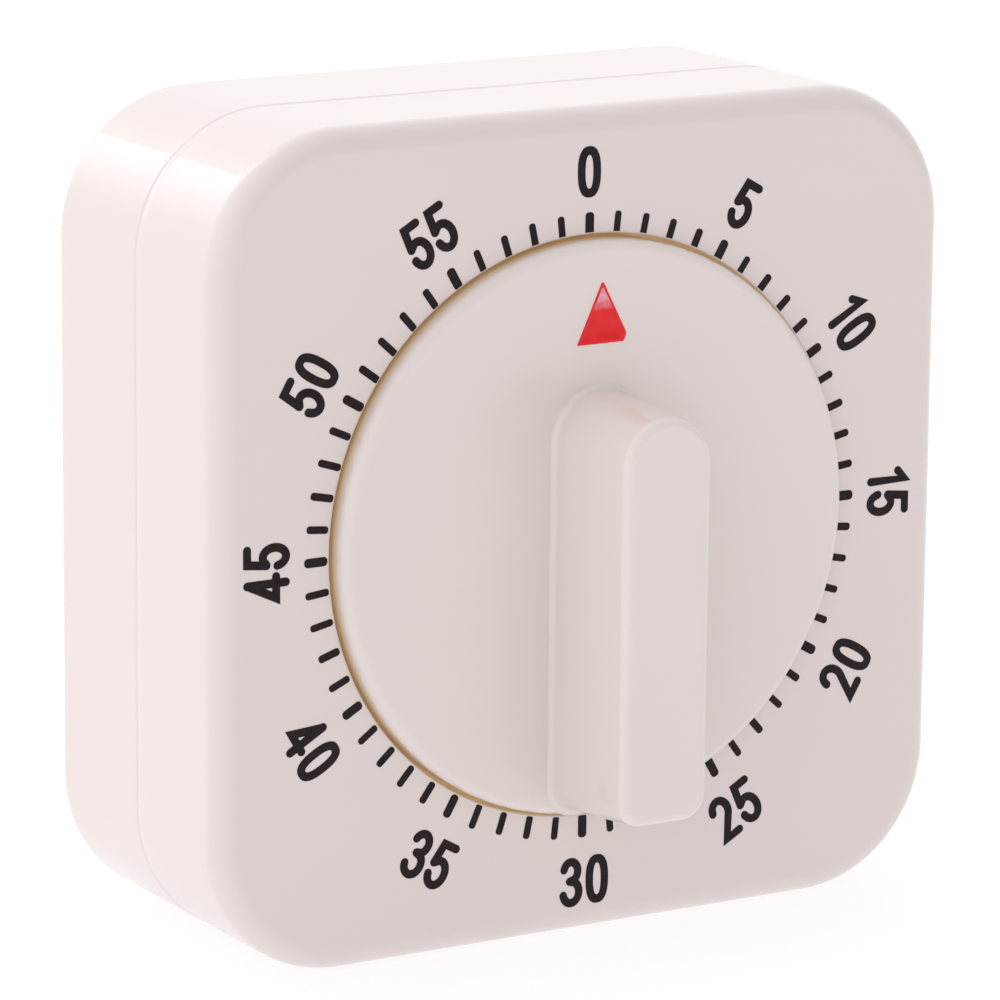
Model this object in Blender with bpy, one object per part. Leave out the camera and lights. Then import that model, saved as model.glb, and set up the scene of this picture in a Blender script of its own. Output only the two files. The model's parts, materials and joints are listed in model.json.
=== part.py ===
"""Square 60 minute kitchen timer with its clockwork movement.

The timer stands on z = 0 and faces -Y.  +X is to the right of someone who looks at the dial.
Every flat part is drawn in the plane of the dial as (x, z) points around its own axis and has its
thickness along Y.  All dimensions are in millimetres and are turned into metres by MM.
"""
from math import cos, hypot, pi, radians, sin, sqrt, atan2

import bmesh
import bpy
from mathutils import Vector
from mathutils.geometry import convex_hull_2d, tessellate_polygon

MM = 0.001

# ---- driving dimensions ----------------------------------------------------------------------
CASE_SIZE = 70.0
CASE_DEPTH = 27.9
KNOB_REACH = 12.3
FACE_Y = (KNOB_REACH - CASE_DEPTH) / 2
BACK_Y = FACE_Y + CASE_DEPTH
GRIP_Y = FACE_Y - KNOB_REACH
HALF = CASE_SIZE / 2
AXIS_Z = HALF
GAP = 0.3

CORNER_R = 12.0
WALL = 2.0
FRONT_FILLET = 2.1
BACK_FILLET = 1.0
INNER_FILLET = 1.5
CHAMFER = 0.3
SEAM_Y = FACE_Y + 13.8
LIP_DEPTH = 1.5
LIP_WALL = 0.8

WELL_R = 24.6
WELL_Y = FACE_Y + 2.6
WELL_FLOOR = 1.7
ARBOR_HOLE_R = 3.2

DISC_R = 24.25
DISC_Y = FACE_Y - 1.6
DISC_SKIN = 1.8
DISC_FILLET = 0.9
DISC_REAR_Y = FACE_Y + 2.0
GRIP_HALF_BASE = 4.35
GRIP_HALF_FRONT = 4.15
GRIP_TOP_BASE = 12.0
GRIP_TOP_FRONT = 11.45
GRIP_BOTTOM_BASE = -23.5
GRIP_BOTTOM_FRONT = -22.7
GRIP_CORNER = 1.2
GRIP_EDGE = 0.6
GRIP_WALL = 1.6
HUB_R = 4.0
SOCKET_R = 2.3
SOCKET_FLAT = 1.6

MARK_FOOT_X = 1.65
MARK_FOOT_Z = 16.4
MARK_FOOT_R = 0.65
MARK_TIP_Z = 20.55
MARK_TIP_R = 0.3
MARK_DEPTH = 0.4

SCREW_AT = 26.5
SCREW_SEAT_Y = 9.0
PILOT_R = 1.55
CASE_BOSS_R = 3.2
COVER_BOSS_R = 4.6
COUNTERBORE_R = 3.0
MOUNT_BOSS_R = 2.6
MOUNT_HOLE_R = 1.3
SLOT_PITCH = 4.4
SLOT_HALF = 0.9
SLOT_FIELD_R = 12.5

# ---- movement: plates and layers along Y ------------------------------------------------------
PLATE = 0.8
FRONT_PLATE_Y = -0.6
REAR_PLATE_Y = 9.0
ARBOR_R = 0.8
PIVOT_R = 0.5
MAIN_ARBOR_R = 2.5
REAR_ARBOR_R = 1.5
WHEEL_BORE_R = 1.1
MAIN_BORE_R = 2.8
PILLAR_R = 1.6
PILLAR_HOLE_R = 1.3
POST_RIVET_R = 1.2
STUD_R = 0.9

# front and rear of the room between the plates, then of every layer in it and behind it
BETWEEN_Y = (FRONT_PLATE_Y + PLATE + GAP, REAR_PLATE_Y - GAP)
SPRING_Y = (0.5, 2.6)
BALANCE_Y = (1.0, 1.8)
ESCAPE_Y = (3.0, 3.6)
RATCHET_Y = (3.8, 4.5)
CLICK_SPRING_Y = (3.8, 4.4)
PALLET_Y = (4.0, 4.6)
FIRST_PINION_Y = (4.6, 6.0)
MAIN_Y = (4.9, 5.7)
ESCAPE_PINION_Y = (6.1, 7.2)
THIRD_Y = (6.4, 6.9)
STRIKE_Y = (7.0, 7.6)
THIRD_PINION_Y = (7.3, 8.5)
SECOND_Y = (7.6, 8.2)
CAM_Y = (10.1, 10.9)
TRIP_Y = (10.2, 10.9)
HAMMER_HEAD_Y = (11.7, 12.9)
HAMMER_ARM_Y = (13.2, 14.0)
HAMMER_END_Y = 14.3

MAIN_TEETH, MAIN_MODULE = 60, 0.4
SECOND_TEETH, SECOND_MODULE = 50, 0.35
THIRD_TEETH, THIRD_MODULE = 50, 0.3
PINION_TEETH = 10
ESCAPE_TEETH, ESCAPE_R = 15, 5.0
STRIKE_TEETH, STRIKE_R = 12, 4.2
MESH_PLAY = 0.05

SPRING_INNER_R = 3.0
SPRING_OUTER_R = 9.2
SPRING_TURNS = 6
SPRING_STRIP = 0.35


def centre_distance(teeth, module):
    """Distance between a wheel and its ten-leaf pinion."""
    return (teeth + PINION_TEETH) * module / 2 + MESH_PLAY


def polar(radius, degrees, centre=(0.0, 0.0)):
    """Point at a radius and an angle from a centre, the angle counted from +X towards +Z."""
    return (centre[0] + radius * cos(radians(degrees)), centre[1] + radius * sin(radians(degrees)))


# ---- places of the axes, from the dial axis ---------------------------------------------------
DIAL = (0.0, 0.0)
SECOND_ANGLE, THIRD_ANGLE, ESCAPE_ANGLE, STRIKE_ANGLE = 200.0, 290.0, -5.0, -10.0
PALLET_ANGLE = -10.0
SECOND = polar(centre_distance(MAIN_TEETH, MAIN_MODULE), SECOND_ANGLE)
THIRD = polar(centre_distance(SECOND_TEETH, SECOND_MODULE), THIRD_ANGLE, SECOND)
ESCAPE = polar(centre_distance(THIRD_TEETH, THIRD_MODULE), ESCAPE_ANGLE, THIRD)
PALLET = polar(7.2, PALLET_ANGLE, ESCAPE)
STRIKE = polar(centre_distance(MAIN_TEETH, MAIN_MODULE), STRIKE_ANGLE)
HAMMER = (18.3, 3.7)
BELL = (9.0, -4.0)
LEVER = (10.7, 4.0)
NOSE = (3.4, 7.3)
PILLARS = ((-11.0, 11.0), (11.0, 11.0), (16.0, -12.5))
MOUNTS = ((-21.0, 15.0), (21.0, 15.0), (0.0, -23.5))
CLICK = (0.0, 8.6)
BELL_R, BELL_RIM_Y, BELL_TOP_Y, BELL_WALL = 18.0, 11.5, 16.4, 0.8


# ---- materials --------------------------------------------------------------------------------
def material(name, colour, roughness, metallic=0.0):
    """Principled material with a colour, roughness and metallic value."""
    mat = bpy.data.materials.get(name) or bpy.data.materials.new(name)
    mat.use_nodes = True
    shader = mat.node_tree.nodes["Principled BSDF"]
    shader.inputs["Base Color"].default_value = (*colour, 1.0)
    shader.inputs["Roughness"].default_value = roughness
    shader.inputs["Metallic"].default_value = metallic
    mat.diffuse_color = (*colour, 1.0)
    return mat


LOOKS = {
    "white_case": ((0.72, 0.66, 0.65), 0.35, 0.0),
    "white_knob": ((0.74, 0.68, 0.66), 0.32, 0.0),
    "red_mark": ((0.75, 0.03, 0.05), 0.3, 0.0),
    "zinc_steel": ((0.62, 0.62, 0.60), 0.35, 1.0),
    "brass": ((0.72, 0.52, 0.22), 0.35, 1.0),
    "spring_steel": ((0.32, 0.34, 0.38), 0.3, 1.0),
    "bell_steel": ((0.70, 0.70, 0.68), 0.2, 1.0),
    "acetal": ((0.80, 0.79, 0.74), 0.45, 0.0),
}


# ---- mesh helpers -----------------------------------------------------------------------------
def make_object(name, points, faces, look, at=DIAL):
    """Closed mesh from millimetre points around an axis through `at`, normals pointing out."""
    mesh = bpy.data.meshes.new(name)
    mesh.from_pydata([(x * MM, y * MM, z * MM) for x, y, z in points], [], faces)
    shape = bmesh.new()
    shape.from_mesh(mesh)
    bmesh.ops.recalc_face_normals(shape, faces=shape.faces)
    shape.to_mesh(mesh)
    shape.free()
    mesh.shade_smooth()
    mesh.set_sharp_from_angle(angle=radians(32))
    thing = bpy.data.objects.new(name, mesh)
    bpy.context.scene.collection.objects.link(thing)
    thing.location = (at[0] * MM, 0.0, (AXIS_Z + at[1]) * MM)
    if look:
        mesh.materials.append(material(look, *LOOKS[look]))
    return thing


def loft(name, rings, look, loop=False, at=DIAL):
    """Skin over rings of equal length: a closed loop of rings, or a run with both ends capped."""
    size = len(rings[0])
    points = [point for ring in rings for point in ring]
    faces = []
    for number in range(len(rings) - (0 if loop else 1)):
        here, there = number * size, (number + 1) % len(rings) * size
        for k in range(size):
            after = (k + 1) % size
            faces.append((here + k, here + after, there + after, there + k))
    if not loop:
        faces.append(tuple(range(size)))
        faces.append(tuple(range(len(points) - size, len(points))))
    return make_object(name, points, faces, look, at)


def turned(name, profile, look, sides=16, at=DIAL, bored=False):
    """Turned part from (radius, y) pairs: capped at both ends, or a closed section if bored."""
    rings = [[(x, y, z) for x, z in circle(radius, sides)] for radius, y in profile]
    return loft(name, rings, look, bored, at)


def flat(name, outline, layer, look, holes=(), at=DIAL):
    """Flat part from an (x, z) outline with hole outlines; its layer is (front y, rear y)."""
    y_front, y_rear = layer
    loops = [list(outline), *[list(hole) for hole in holes]]
    flat_points = [point for one in loops for point in one]
    size = len(flat_points)
    points = [(x, y_front, z) for x, z in flat_points] + [(x, y_rear, z) for x, z in flat_points]
    faces = []
    for a, b, c in tessellate_polygon([[Vector((x, z, 0)) for x, z in one] for one in loops]):
        faces += [(a, b, c), (size + a, size + b, size + c)]
    start = 0
    for one in loops:
        for k in range(len(one)):
            a, b = start + k, start + (k + 1) % len(one)
            faces.append((a, b, size + b, size + a))
        start += len(one)
    return make_object(name, points, faces, look, at)


def combine(target, other, operation):
    """Boolean of target with a helper shape, which stays in the file as a hidden wire."""
    other.hide_render = True
    other.display_type = "WIRE"
    step = target.modifiers.new(other.name, "BOOLEAN")
    step.operation = operation
    step.solver = "EXACT"
    step.object = other
    return target


def circle(radius, sides=16, centre=DIAL):
    """Points of a circle."""
    return [polar(radius, 360 * k / sides, centre) for k in range(sides)]


def hull(*discs, sides=16):
    """Outline around discs given as (centre, radius)."""
    cloud = [point for centre, radius in discs for point in circle(radius, sides, centre)]
    return [cloud[k] for k in convex_hull_2d([Vector(point) for point in cloud])]


def away(point, origin):
    """Point seen from another origin."""
    return (point[0] - origin[0], point[1] - origin[1])


# ---- case -------------------------------------------------------------------------------------
ARC_STEPS = 7
SIDE_STEPS = 5


def square_points(half, radius):
    """Rounded square with round corners in ARC_STEPS and each side in SIDE_STEPS."""
    points = []
    for quarter in range(4):
        turn = 90 * quarter
        corner = polar(sqrt(2) * (half - radius), 45 + turn)
        points += [polar(radius, turn + 90 * k / ARC_STEPS, corner) for k in range(ARC_STEPS + 1)]
        start = points[-1]
        end = polar(radius, turn + 90, polar(sqrt(2) * (half - radius), 135 + turn))
        for k in range(1, SIDE_STEPS):
            part = k / SIDE_STEPS
            points.append((start[0] + (end[0] - start[0]) * part,
                           start[1] + (end[1] - start[1]) * part))
    return points


def square_ring(inset, y):
    """Ring that lies `inset` inside the outer wall."""
    radius = max(CORNER_R - inset, 1.0)
    return [(x, y, z) for x, z in square_points(HALF - inset, radius)]


def round_ring(radius, y):
    """Circle whose points lie in the same directions as those of the rounded square."""
    ring = []
    for x, z in square_points(HALF, CORNER_R):
        scale = radius / hypot(x, z)
        ring.append((x * scale, y, z * scale))
    return ring


def fillet(radius, steps):
    """(inset, rise) pairs over a quarter round, from its side to its face."""
    return [(radius * (1 - cos(pi / 2 * k / steps)), radius * sin(pi / 2 * k / steps))
            for k in range(steps + 1)]


def peg(name, radius, y_front, y_rear, at, sides=16):
    """Plain cylinder used as a helper for a boss or a hole."""
    return turned(name, [(radius, y_front), (radius, y_rear)], None, sides, at)


CORNERS = [(SCREW_AT * sx, SCREW_AT * sz) for sx, sz in ((1, 1), (-1, 1), (-1, -1), (1, -1))]


def front_case():
    """Front half with the dial well, the lip that enters the rear half, and the screw bosses."""
    rings = [square_ring(CHAMFER, SEAM_Y), square_ring(0, SEAM_Y - CHAMFER)]
    for inset, rise in fillet(FRONT_FILLET, 5):
        rings.append(square_ring(inset, FACE_Y + FRONT_FILLET - rise))
    rings += [round_ring(WELL_R + CHAMFER, FACE_Y), round_ring(WELL_R, FACE_Y + CHAMFER),
              round_ring(WELL_R, WELL_Y), round_ring(ARBOR_HOLE_R, WELL_Y),
              round_ring(ARBOR_HOLE_R, WELL_Y + WELL_FLOOR),
              round_ring(WELL_R + WALL, WELL_Y + WELL_FLOOR),
              round_ring(WELL_R + WALL, FACE_Y + WALL),
              square_ring(WALL + INNER_FILLET, FACE_Y + WALL),
              square_ring(WALL, FACE_Y + WALL + INNER_FILLET),
              square_ring(WALL, SEAM_Y + LIP_DEPTH),
              square_ring(WALL - LIP_WALL, SEAM_Y + LIP_DEPTH),
              square_ring(WALL - LIP_WALL, SEAM_Y)]
    case = loft("front_case", rings, "white_case", loop=True)
    floor_y = WELL_Y + WELL_FLOOR
    boss_end = SEAM_Y + GAP
    ear_front = FRONT_PLATE_Y - GAP
    for number, corner in enumerate(CORNERS, 1):
        combine(case, peg(f"case_boss_{number}", CASE_BOSS_R, FACE_Y + WALL / 2, boss_end, corner), "UNION")
        combine(case, peg(f"case_pilot_{number}", PILOT_R, -2.0, boss_end + 0.4, corner), "DIFFERENCE")
    for number, place in enumerate(MOUNTS, 1):
        combine(case, peg(f"mount_boss_{number}", MOUNT_BOSS_R, floor_y - 1.2, ear_front, place), "UNION")
        combine(case, peg(f"mount_pilot_{number}", MOUNT_HOLE_R, floor_y - 0.9, 0.0, place), "DIFFERENCE")


def rear_cover():
    """Rear half: a tray with screw pillars, counterbores and slots that let the bell be heard."""
    front_y = SEAM_Y + GAP
    rings = [square_ring(inset, BACK_Y - BACK_FILLET + rise)
             for inset, rise in reversed(fillet(BACK_FILLET, 3))]
    rabbet = WALL - LIP_WALL - GAP
    rings += [square_ring(0, front_y + CHAMFER), square_ring(CHAMFER, front_y),
              square_ring(rabbet, front_y), square_ring(rabbet, SEAM_Y + LIP_DEPTH + GAP),
              square_ring(WALL, SEAM_Y + LIP_DEPTH + GAP), square_ring(WALL, BACK_Y - WALL)]
    cover = loft("rear_cover", rings, "white_case")
    for number, corner in enumerate(CORNERS, 1):
        combine(cover, peg(f"cover_boss_{number}", COVER_BOSS_R, SEAM_Y + 0.7, BACK_Y - WALL / 2,
                           corner), "UNION")
        combine(cover, peg(f"cover_bore_{number}", COUNTERBORE_R, SCREW_SEAT_Y, BACK_Y + 1.0,
                           corner),
                "DIFFERENCE")
        combine(cover, peg(f"cover_hole_{number}", PILOT_R, SEAM_Y - 0.3, SCREW_SEAT_Y + 1.0, corner),
                "DIFFERENCE")
    for number in range(-2, 3):
        rise = SLOT_PITCH * number
        reach = sqrt(SLOT_FIELD_R ** 2 - rise ** 2)
        ends = [((BELL[0] + side * reach, BELL[1] + rise), SLOT_HALF) for side in (-1, 1)]
        slot = flat(f"sound_slot_{number + 3}", hull(*ends, sides=12),
                    (BACK_Y - WALL - 1, BACK_Y + 1), None)
        combine(cover, slot, "DIFFERENCE")


def screw(name, head_r, head_y, head_h, shank_r, tip_y, at):
    """Pan head screw with a cross recess, driven from behind so that its shank points to -Y."""
    top = head_y + head_h
    profile = [(shank_r * 0.6, tip_y), (shank_r, tip_y + 0.8), (shank_r, head_y),
               (head_r, head_y), (head_r, top - head_h * 0.45), (head_r * 0.78, top)]
    body = turned(name, profile, "zinc_steel", 12, at)
    cross = []
    for turn in range(20, 380, 90):
        cross += [polar(head_r * 0.57, turn - 11), polar(head_r * 0.57, turn + 11),
                  polar(head_r * 0.19, turn + 45)]
    recess = flat(name + "_recess", cross, (top - head_h * 0.5, top + 0.5), None, at=at)
    combine(body, recess, "DIFFERENCE")


# ---- knob -------------------------------------------------------------------------------------
def grip_ring(half, top, bottom, corner, y):
    """Section of the grip: round upper end, flat lower end with small round corners."""
    ring = [polar(half, 180 * k / 12, (0, top - half)) for k in range(13)]
    for side, turn in ((-1, 180), (1, 270)):
        place = (side * (half - corner), bottom + corner)
        ring += [polar(corner, turn + 90 * k / 3, place) for k in range(4)]
    return [(x, y, z) for x, z in ring]


def grip_shape(name, inset, y_rear, y_front, edge, look=None):
    """Grip with draft on its sides and round edges at its front."""
    rings = []
    for setback, rise in fillet(edge, 2):
        y = y_front + edge - rise
        part = (DISC_Y - y) / (DISC_Y - GRIP_Y)
        half = GRIP_HALF_BASE + (GRIP_HALF_FRONT - GRIP_HALF_BASE) * part - inset - setback
        top = GRIP_TOP_BASE + (GRIP_TOP_FRONT - GRIP_TOP_BASE) * part - inset - setback
        bottom = GRIP_BOTTOM_BASE + (GRIP_BOTTOM_FRONT - GRIP_BOTTOM_BASE) * part + inset + setback
        rings.append(grip_ring(half, top, bottom, max(GRIP_CORNER - inset - setback, 0.4), y))
    rings.insert(0, grip_ring(GRIP_HALF_BASE - inset, GRIP_TOP_BASE - inset,
                              GRIP_BOTTOM_BASE + inset, max(GRIP_CORNER - inset, 0.4), y_rear))
    return loft(name, rings, look)


def d_outline(radius, flat_at, sides=16):
    """Circle with a flat on its +X side."""
    return [(min(x, flat_at), z) for x, z in circle(radius, sides)]


def mark_outline(grow=0.0):
    """Triangle with round corners that points away from the axis."""
    return hull(((-MARK_FOOT_X, MARK_FOOT_Z), MARK_FOOT_R + grow),
                ((MARK_FOOT_X, MARK_FOOT_Z), MARK_FOOT_R + grow),
                ((0.0, MARK_TIP_Z), MARK_TIP_R + grow), sides=16)


def dial_knob():
    """Hollow disc and grip in one moulding, with a hub that fits the D-shaped arbor end."""
    profile = [(DISC_R - inset, DISC_Y + DISC_FILLET - rise)
               for inset, rise in reversed(fillet(DISC_FILLET, 4))]
    inner_r = DISC_R - WALL
    profile += [(DISC_R, DISC_REAR_Y), (inner_r, DISC_REAR_Y), (inner_r, DISC_Y + DISC_SKIN)]
    knob = turned("dial_knob", profile, "white_knob", 60)
    combine(knob, grip_shape("grip_outer", 0.0, DISC_Y + DISC_FILLET, GRIP_Y, GRIP_EDGE), "UNION")
    hollow = grip_shape("grip_hollow", GRIP_WALL, DISC_Y + DISC_SKIN + 0.5,
                        GRIP_Y + GRIP_WALL + 0.2, 0.3)
    combine(knob, hollow, "DIFFERENCE")
    combine(knob, peg("knob_hub", HUB_R, GRIP_Y + 3.0, DISC_REAR_Y + 0.1, DIAL, 20), "UNION")
    socket = flat("knob_socket", d_outline(SOCKET_R, SOCKET_FLAT),
                  (GRIP_Y + 5.6, DISC_REAR_Y + 1.0), None)
    combine(knob, socket, "DIFFERENCE")
    pocket = flat("mark_pocket", mark_outline(0.2), (DISC_Y - 1.0, DISC_Y + MARK_DEPTH + GAP), None)
    combine(knob, pocket, "DIFFERENCE")
    flat("pointer_mark", mark_outline(), (DISC_Y, DISC_Y + MARK_DEPTH), "red_mark")


# ---- gears ------------------------------------------------------------------------------------
def gear_outline(teeth, module, phase, thinning=0.06):
    """Straight-flanked teeth with running clearance; one tooth points at `phase` degrees."""
    pitch_r = teeth * module / 2
    tip_r, root_r = pitch_r + 0.75 * module, pitch_r - 1.15 * module
    step = 360 / teeth
    tip_half = degrees_of(0.36 * module - thinning, tip_r)
    root_half = degrees_of(1.12 * module - thinning, root_r)
    points = []
    for number in range(teeth):
        middle = phase + number * step
        for radius, offset in ((root_r, -root_half), (tip_r, -tip_half), (tip_r, tip_half),
                               (root_r, root_half)):
            points.append(polar(radius, middle + offset))
    return points


def degrees_of(length, radius):
    """Angle of an arc of a length at a radius."""
    return length / radius * 180 / pi


def saw_outline(teeth, tip_r, root_r, phase, lean=0.25):
    """Pointed teeth with one steep flank."""
    step = 360 / teeth
    points = []
    for number in range(teeth):
        points.append(polar(tip_r, phase + number * step))
        points.append(polar(root_r, phase + (number + lean) * step))
    return points


def crossings(count, radius, reach, phase=0.0):
    """Round holes that lighten a wheel."""
    return [circle(radius, 10, polar(reach, phase + 360 * k / count)) for k in range(count)]


def wheel(name, teeth, module, mesh_angle, layer, bore, holes, look, at):
    """Gear wheel with a tooth on the line to its pinion."""
    return flat(name, gear_outline(teeth, module, mesh_angle), layer, look,
                [circle(bore, 12), *holes], at)


def pinion(name, module, mesh_angle, layer, at):
    """Ten leaves on an arbor with thinner pivots that turn in the plates."""
    leaves = gear_outline(PINION_TEETH, module, mesh_angle + 180 + 180 / PINION_TEETH)
    body = flat(name, leaves, layer, "zinc_steel", at=at)
    combine(body, arbor(name + "_arbor", None, at), "UNION")


def arbor(name, look, at, end_y=None):
    """Arbor with a pivot at each end, or one that runs on through the rear plate to end_y."""
    profile = [(PIVOT_R, BETWEEN_Y[0] - 1.0), (PIVOT_R, BETWEEN_Y[0]), (ARBOR_R, BETWEEN_Y[0])]
    if end_y is None:
        profile += [(ARBOR_R, BETWEEN_Y[1]), (PIVOT_R, BETWEEN_Y[1]),
                    (PIVOT_R, BETWEEN_Y[1] + 1.0)]
    else:
        profile.append((ARBOR_R, end_y))
    return turned(name, profile, look, 12, at)


# ---- movement frame ---------------------------------------------------------------------------
TRAIN_AXES = (SECOND, THIRD, ESCAPE, PALLET, STRIKE)


def plates():
    """Front plate with three mounting ears, and the rear plate."""
    carried = [(place, 3.5) for place in (*TRAIN_AXES, HAMMER, *PILLARS)]
    pivots = [circle(PIVOT_R + GAP, 12, place) for place in TRAIN_AXES]
    spigots = [circle(PILLAR_HOLE_R, 12, place) for place in PILLARS]
    ears = [(place, 3.2) for place in MOUNTS]
    ear_holes = [circle(MOUNT_HOLE_R, 12, place) for place in MOUNTS]
    flat("front_plate", hull(*carried, *ears), (FRONT_PLATE_Y, FRONT_PLATE_Y + PLATE),
         "zinc_steel", [circle(SOCKET_R, 16), circle(PIVOT_R + GAP, 12, HAMMER), *pivots,
                        *spigots, *ear_holes])
    flat("rear_plate", hull(*carried), (REAR_PLATE_Y, REAR_PLATE_Y + PLATE), "zinc_steel",
         [circle(REAR_ARBOR_R + GAP, 16), circle(ARBOR_R + GAP, 12, HAMMER),
          circle(POST_RIVET_R + GAP, 12, BELL), circle(STUD_R + GAP, 12, LEVER), *pivots,
          *spigots])


def pillars():
    """Three pillars riveted to the front plate, with their screws through the rear plate."""
    low, high = BETWEEN_Y
    profile = [(1.0, FRONT_PLATE_Y), (1.0, low), (PILLAR_R, low), (PILLAR_R, high), (1.0, high),
               (1.0, high - 4.0)]
    for number, place in enumerate(PILLARS, 1):
        turned(f"pillar_{number}", profile, "brass", 12, place)
        screw(f"pillar_screw_{number}", 2.0, REAR_PLATE_Y + PLATE + GAP, 1.0, 0.7, high - 3.6,
              place)
    for number, place in enumerate(MOUNTS, 1):
        screw(f"mount_screw_{number}", 2.2, low, 1.2, 1.0, low - 3.6, place)


# ---- power: arbor, spring, ratchet, main wheel --------------------------------------------------
RATCHET_R = 5.0
RATCHET_PHASE = 46.0
TIP_LEAD = 6.5
CAM_R, NOTCH_R, NOTCH_HALF = 6.5, 4.6, 20.0


def main_arbor():
    """Winding arbor: D-shaped front end in the knob, thick middle, thin rear end."""
    nose_r = SOCKET_R - GAP
    profile = [(nose_r, GRIP_Y + 6.0), (nose_r, BETWEEN_Y[0]), (MAIN_ARBOR_R, BETWEEN_Y[0]),
               (MAIN_ARBOR_R, BETWEEN_Y[1]), (REAR_ARBOR_R, BETWEEN_Y[1]),
               (REAR_ARBOR_R, CAM_Y[1] + GAP)]
    winder = turned("main_arbor", profile, "zinc_steel", 20)
    flat_at = SOCKET_FLAT - GAP
    side = flat("arbor_flat", [(flat_at, -3), (3, -3), (3, 3), (flat_at, 3)],
                (GRIP_Y + 5, WELL_Y), None)
    combine(winder, side, "DIFFERENCE")


def mainspring():
    """Spiral strip around the arbor; its outer end runs out to the first pillar."""
    per_turn = 18
    end_angle = degrees_of(1, 1) * atan2(PILLARS[0][1], PILLARS[0][0])
    catch_r = hypot(*PILLARS[0]) - PILLAR_R - GAP - SPRING_STRIP
    count = SPRING_TURNS * per_turn
    middle = []
    for k in range(count + 1):
        part = k / count
        radius = SPRING_INNER_R + SPRING_STRIP / 2 + (SPRING_OUTER_R - SPRING_INNER_R) * part
        runout = max(0.0, (k - count + per_turn / 4) / (per_turn / 4))
        radius += (catch_r - SPRING_OUTER_R) * runout ** 2
        middle.append(polar(radius, end_angle - 360 * (count - k) / per_turn))
    outline = []
    for side in (1, -1):
        edge = []
        for k, (x, z) in enumerate(middle):
            before, after = middle[max(k - 1, 0)], middle[min(k + 1, count)]
            along = away(after, before)
            shift = side * SPRING_STRIP / 2 / hypot(*along)
            edge.append((x - along[1] * shift, z + along[0] * shift))
        outline += edge if side == 1 else reversed(edge)
    flat("mainspring", outline, SPRING_Y, "spring_steel")


def main_power():
    """Ratchet wheel, main wheel, click, its rivet and spring, and the trip cam."""
    flat("ratchet_wheel", saw_outline(12, RATCHET_R, RATCHET_R - 0.9, RATCHET_PHASE), RATCHET_Y,
         "zinc_steel", [circle(MAIN_BORE_R, 16)])
    rivet_r = 0.7
    rivet_hole = circle(rivet_r + GAP, 12, CLICK)
    wheel("main_wheel", MAIN_TEETH, MAIN_MODULE, SECOND_ANGLE, MAIN_Y, MAIN_BORE_R,
          [*crossings(3, 2.4, 7.4, 30.0), rivet_hole], "brass", DIAL)
    tip = polar(RATCHET_R - 0.25, RATCHET_PHASE + TIP_LEAD)
    flat("click_pawl", hull((DIAL, 1.5), (away(tip, CLICK), 0.25), sides=12), RATCHET_Y,
         "zinc_steel", [circle(rivet_r + GAP, 12)], CLICK)
    head_y = RATCHET_Y[0] - GAP
    turned("click_rivet", [(1.3, head_y - 0.5), (1.3, head_y), (rivet_r, head_y),
                           (rivet_r, MAIN_Y[1])], "zinc_steel", 12, CLICK)
    leaf = [polar(CLICK[1], angle) for angle in range(60, 24, -6)]
    inner = [polar(CLICK[1] - SPRING_STRIP, angle) for angle in range(30, 66, 6)]
    flat("click_spring", leaf + inner, CLICK_SPRING_Y, "spring_steel")
    nose_angle = degrees_of(1, 1) * atan2(NOSE[1], NOSE[0])
    steps = 40
    rim = [polar(CAM_R, nose_angle + NOTCH_HALF + k * (360 - 2 * NOTCH_HALF) / steps)
           for k in range(steps + 1)]
    notch = [polar(NOTCH_R, nose_angle + side * (NOTCH_HALF - 3)) for side in (-1, 1)]
    flat("trip_cam", rim + notch, CAM_Y, "acetal", [circle(REAR_ARBOR_R + GAP, 16)])


# ---- time train and escapement -----------------------------------------------------------------
def time_train():
    """Second, third and escape arbors with their wheels."""
    pinion("second_pinion", MAIN_MODULE, SECOND_ANGLE, FIRST_PINION_Y, SECOND)
    wheel("second_wheel", SECOND_TEETH, SECOND_MODULE, THIRD_ANGLE, SECOND_Y, WHEEL_BORE_R,
          crossings(4, 1.9, 5.0), "brass", SECOND)
    pinion("third_pinion", SECOND_MODULE, THIRD_ANGLE, THIRD_PINION_Y, THIRD)
    wheel("third_wheel", THIRD_TEETH, THIRD_MODULE, ESCAPE_ANGLE, THIRD_Y, WHEEL_BORE_R,
          crossings(4, 1.6, 4.3), "acetal", THIRD)
    pinion("escape_pinion", THIRD_MODULE, ESCAPE_ANGLE, ESCAPE_PINION_Y, ESCAPE)
    flat("escape_wheel", saw_outline(ESCAPE_TEETH, ESCAPE_R, ESCAPE_R - 1.2, 0.0), ESCAPE_Y,
         "acetal", [circle(WHEEL_BORE_R, 12)], ESCAPE)


def escapement():
    """Pallet lever with two pins, its arbor, and the balance ring that sets the beat."""
    arbor("pallet_arbor", "zinc_steel", PALLET)
    spots = [away(polar(ESCAPE_R + 0.75, PALLET_ANGLE + side * 33, ESCAPE), PALLET)
             for side in (1, -1)]
    pin_r = 0.25
    bores = [circle(WHEEL_BORE_R, 12), *[circle(pin_r * 2, 8, spot) for spot in spots]]
    lever = flat("pallet_lever", hull((DIAL, 1.8), (spots[0], 0.9), sides=12), PALLET_Y, "brass",
                 bores[:2], PALLET)
    second_arm = flat("pallet_arm", hull((DIAL, 1.8), (spots[1], 0.9), sides=12), PALLET_Y, None,
                      [bores[0], bores[2]], PALLET)
    combine(lever, second_arm, "UNION")
    for number, spot in enumerate(spots, 1):
        centre = (PALLET[0] + spot[0], PALLET[1] + spot[1])
        turned(f"pallet_pin_{number}", [(pin_r, ESCAPE_Y[0] - GAP), (pin_r, PALLET_Y[1])],
               "zinc_steel", 8, centre)
    flat("balance_ring", circle(5.5, 28), BALANCE_Y, "brass",
         [circle(WHEEL_BORE_R, 12), *crossings(4, 1.4, 3.3, 45.0)], PALLET)


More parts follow.
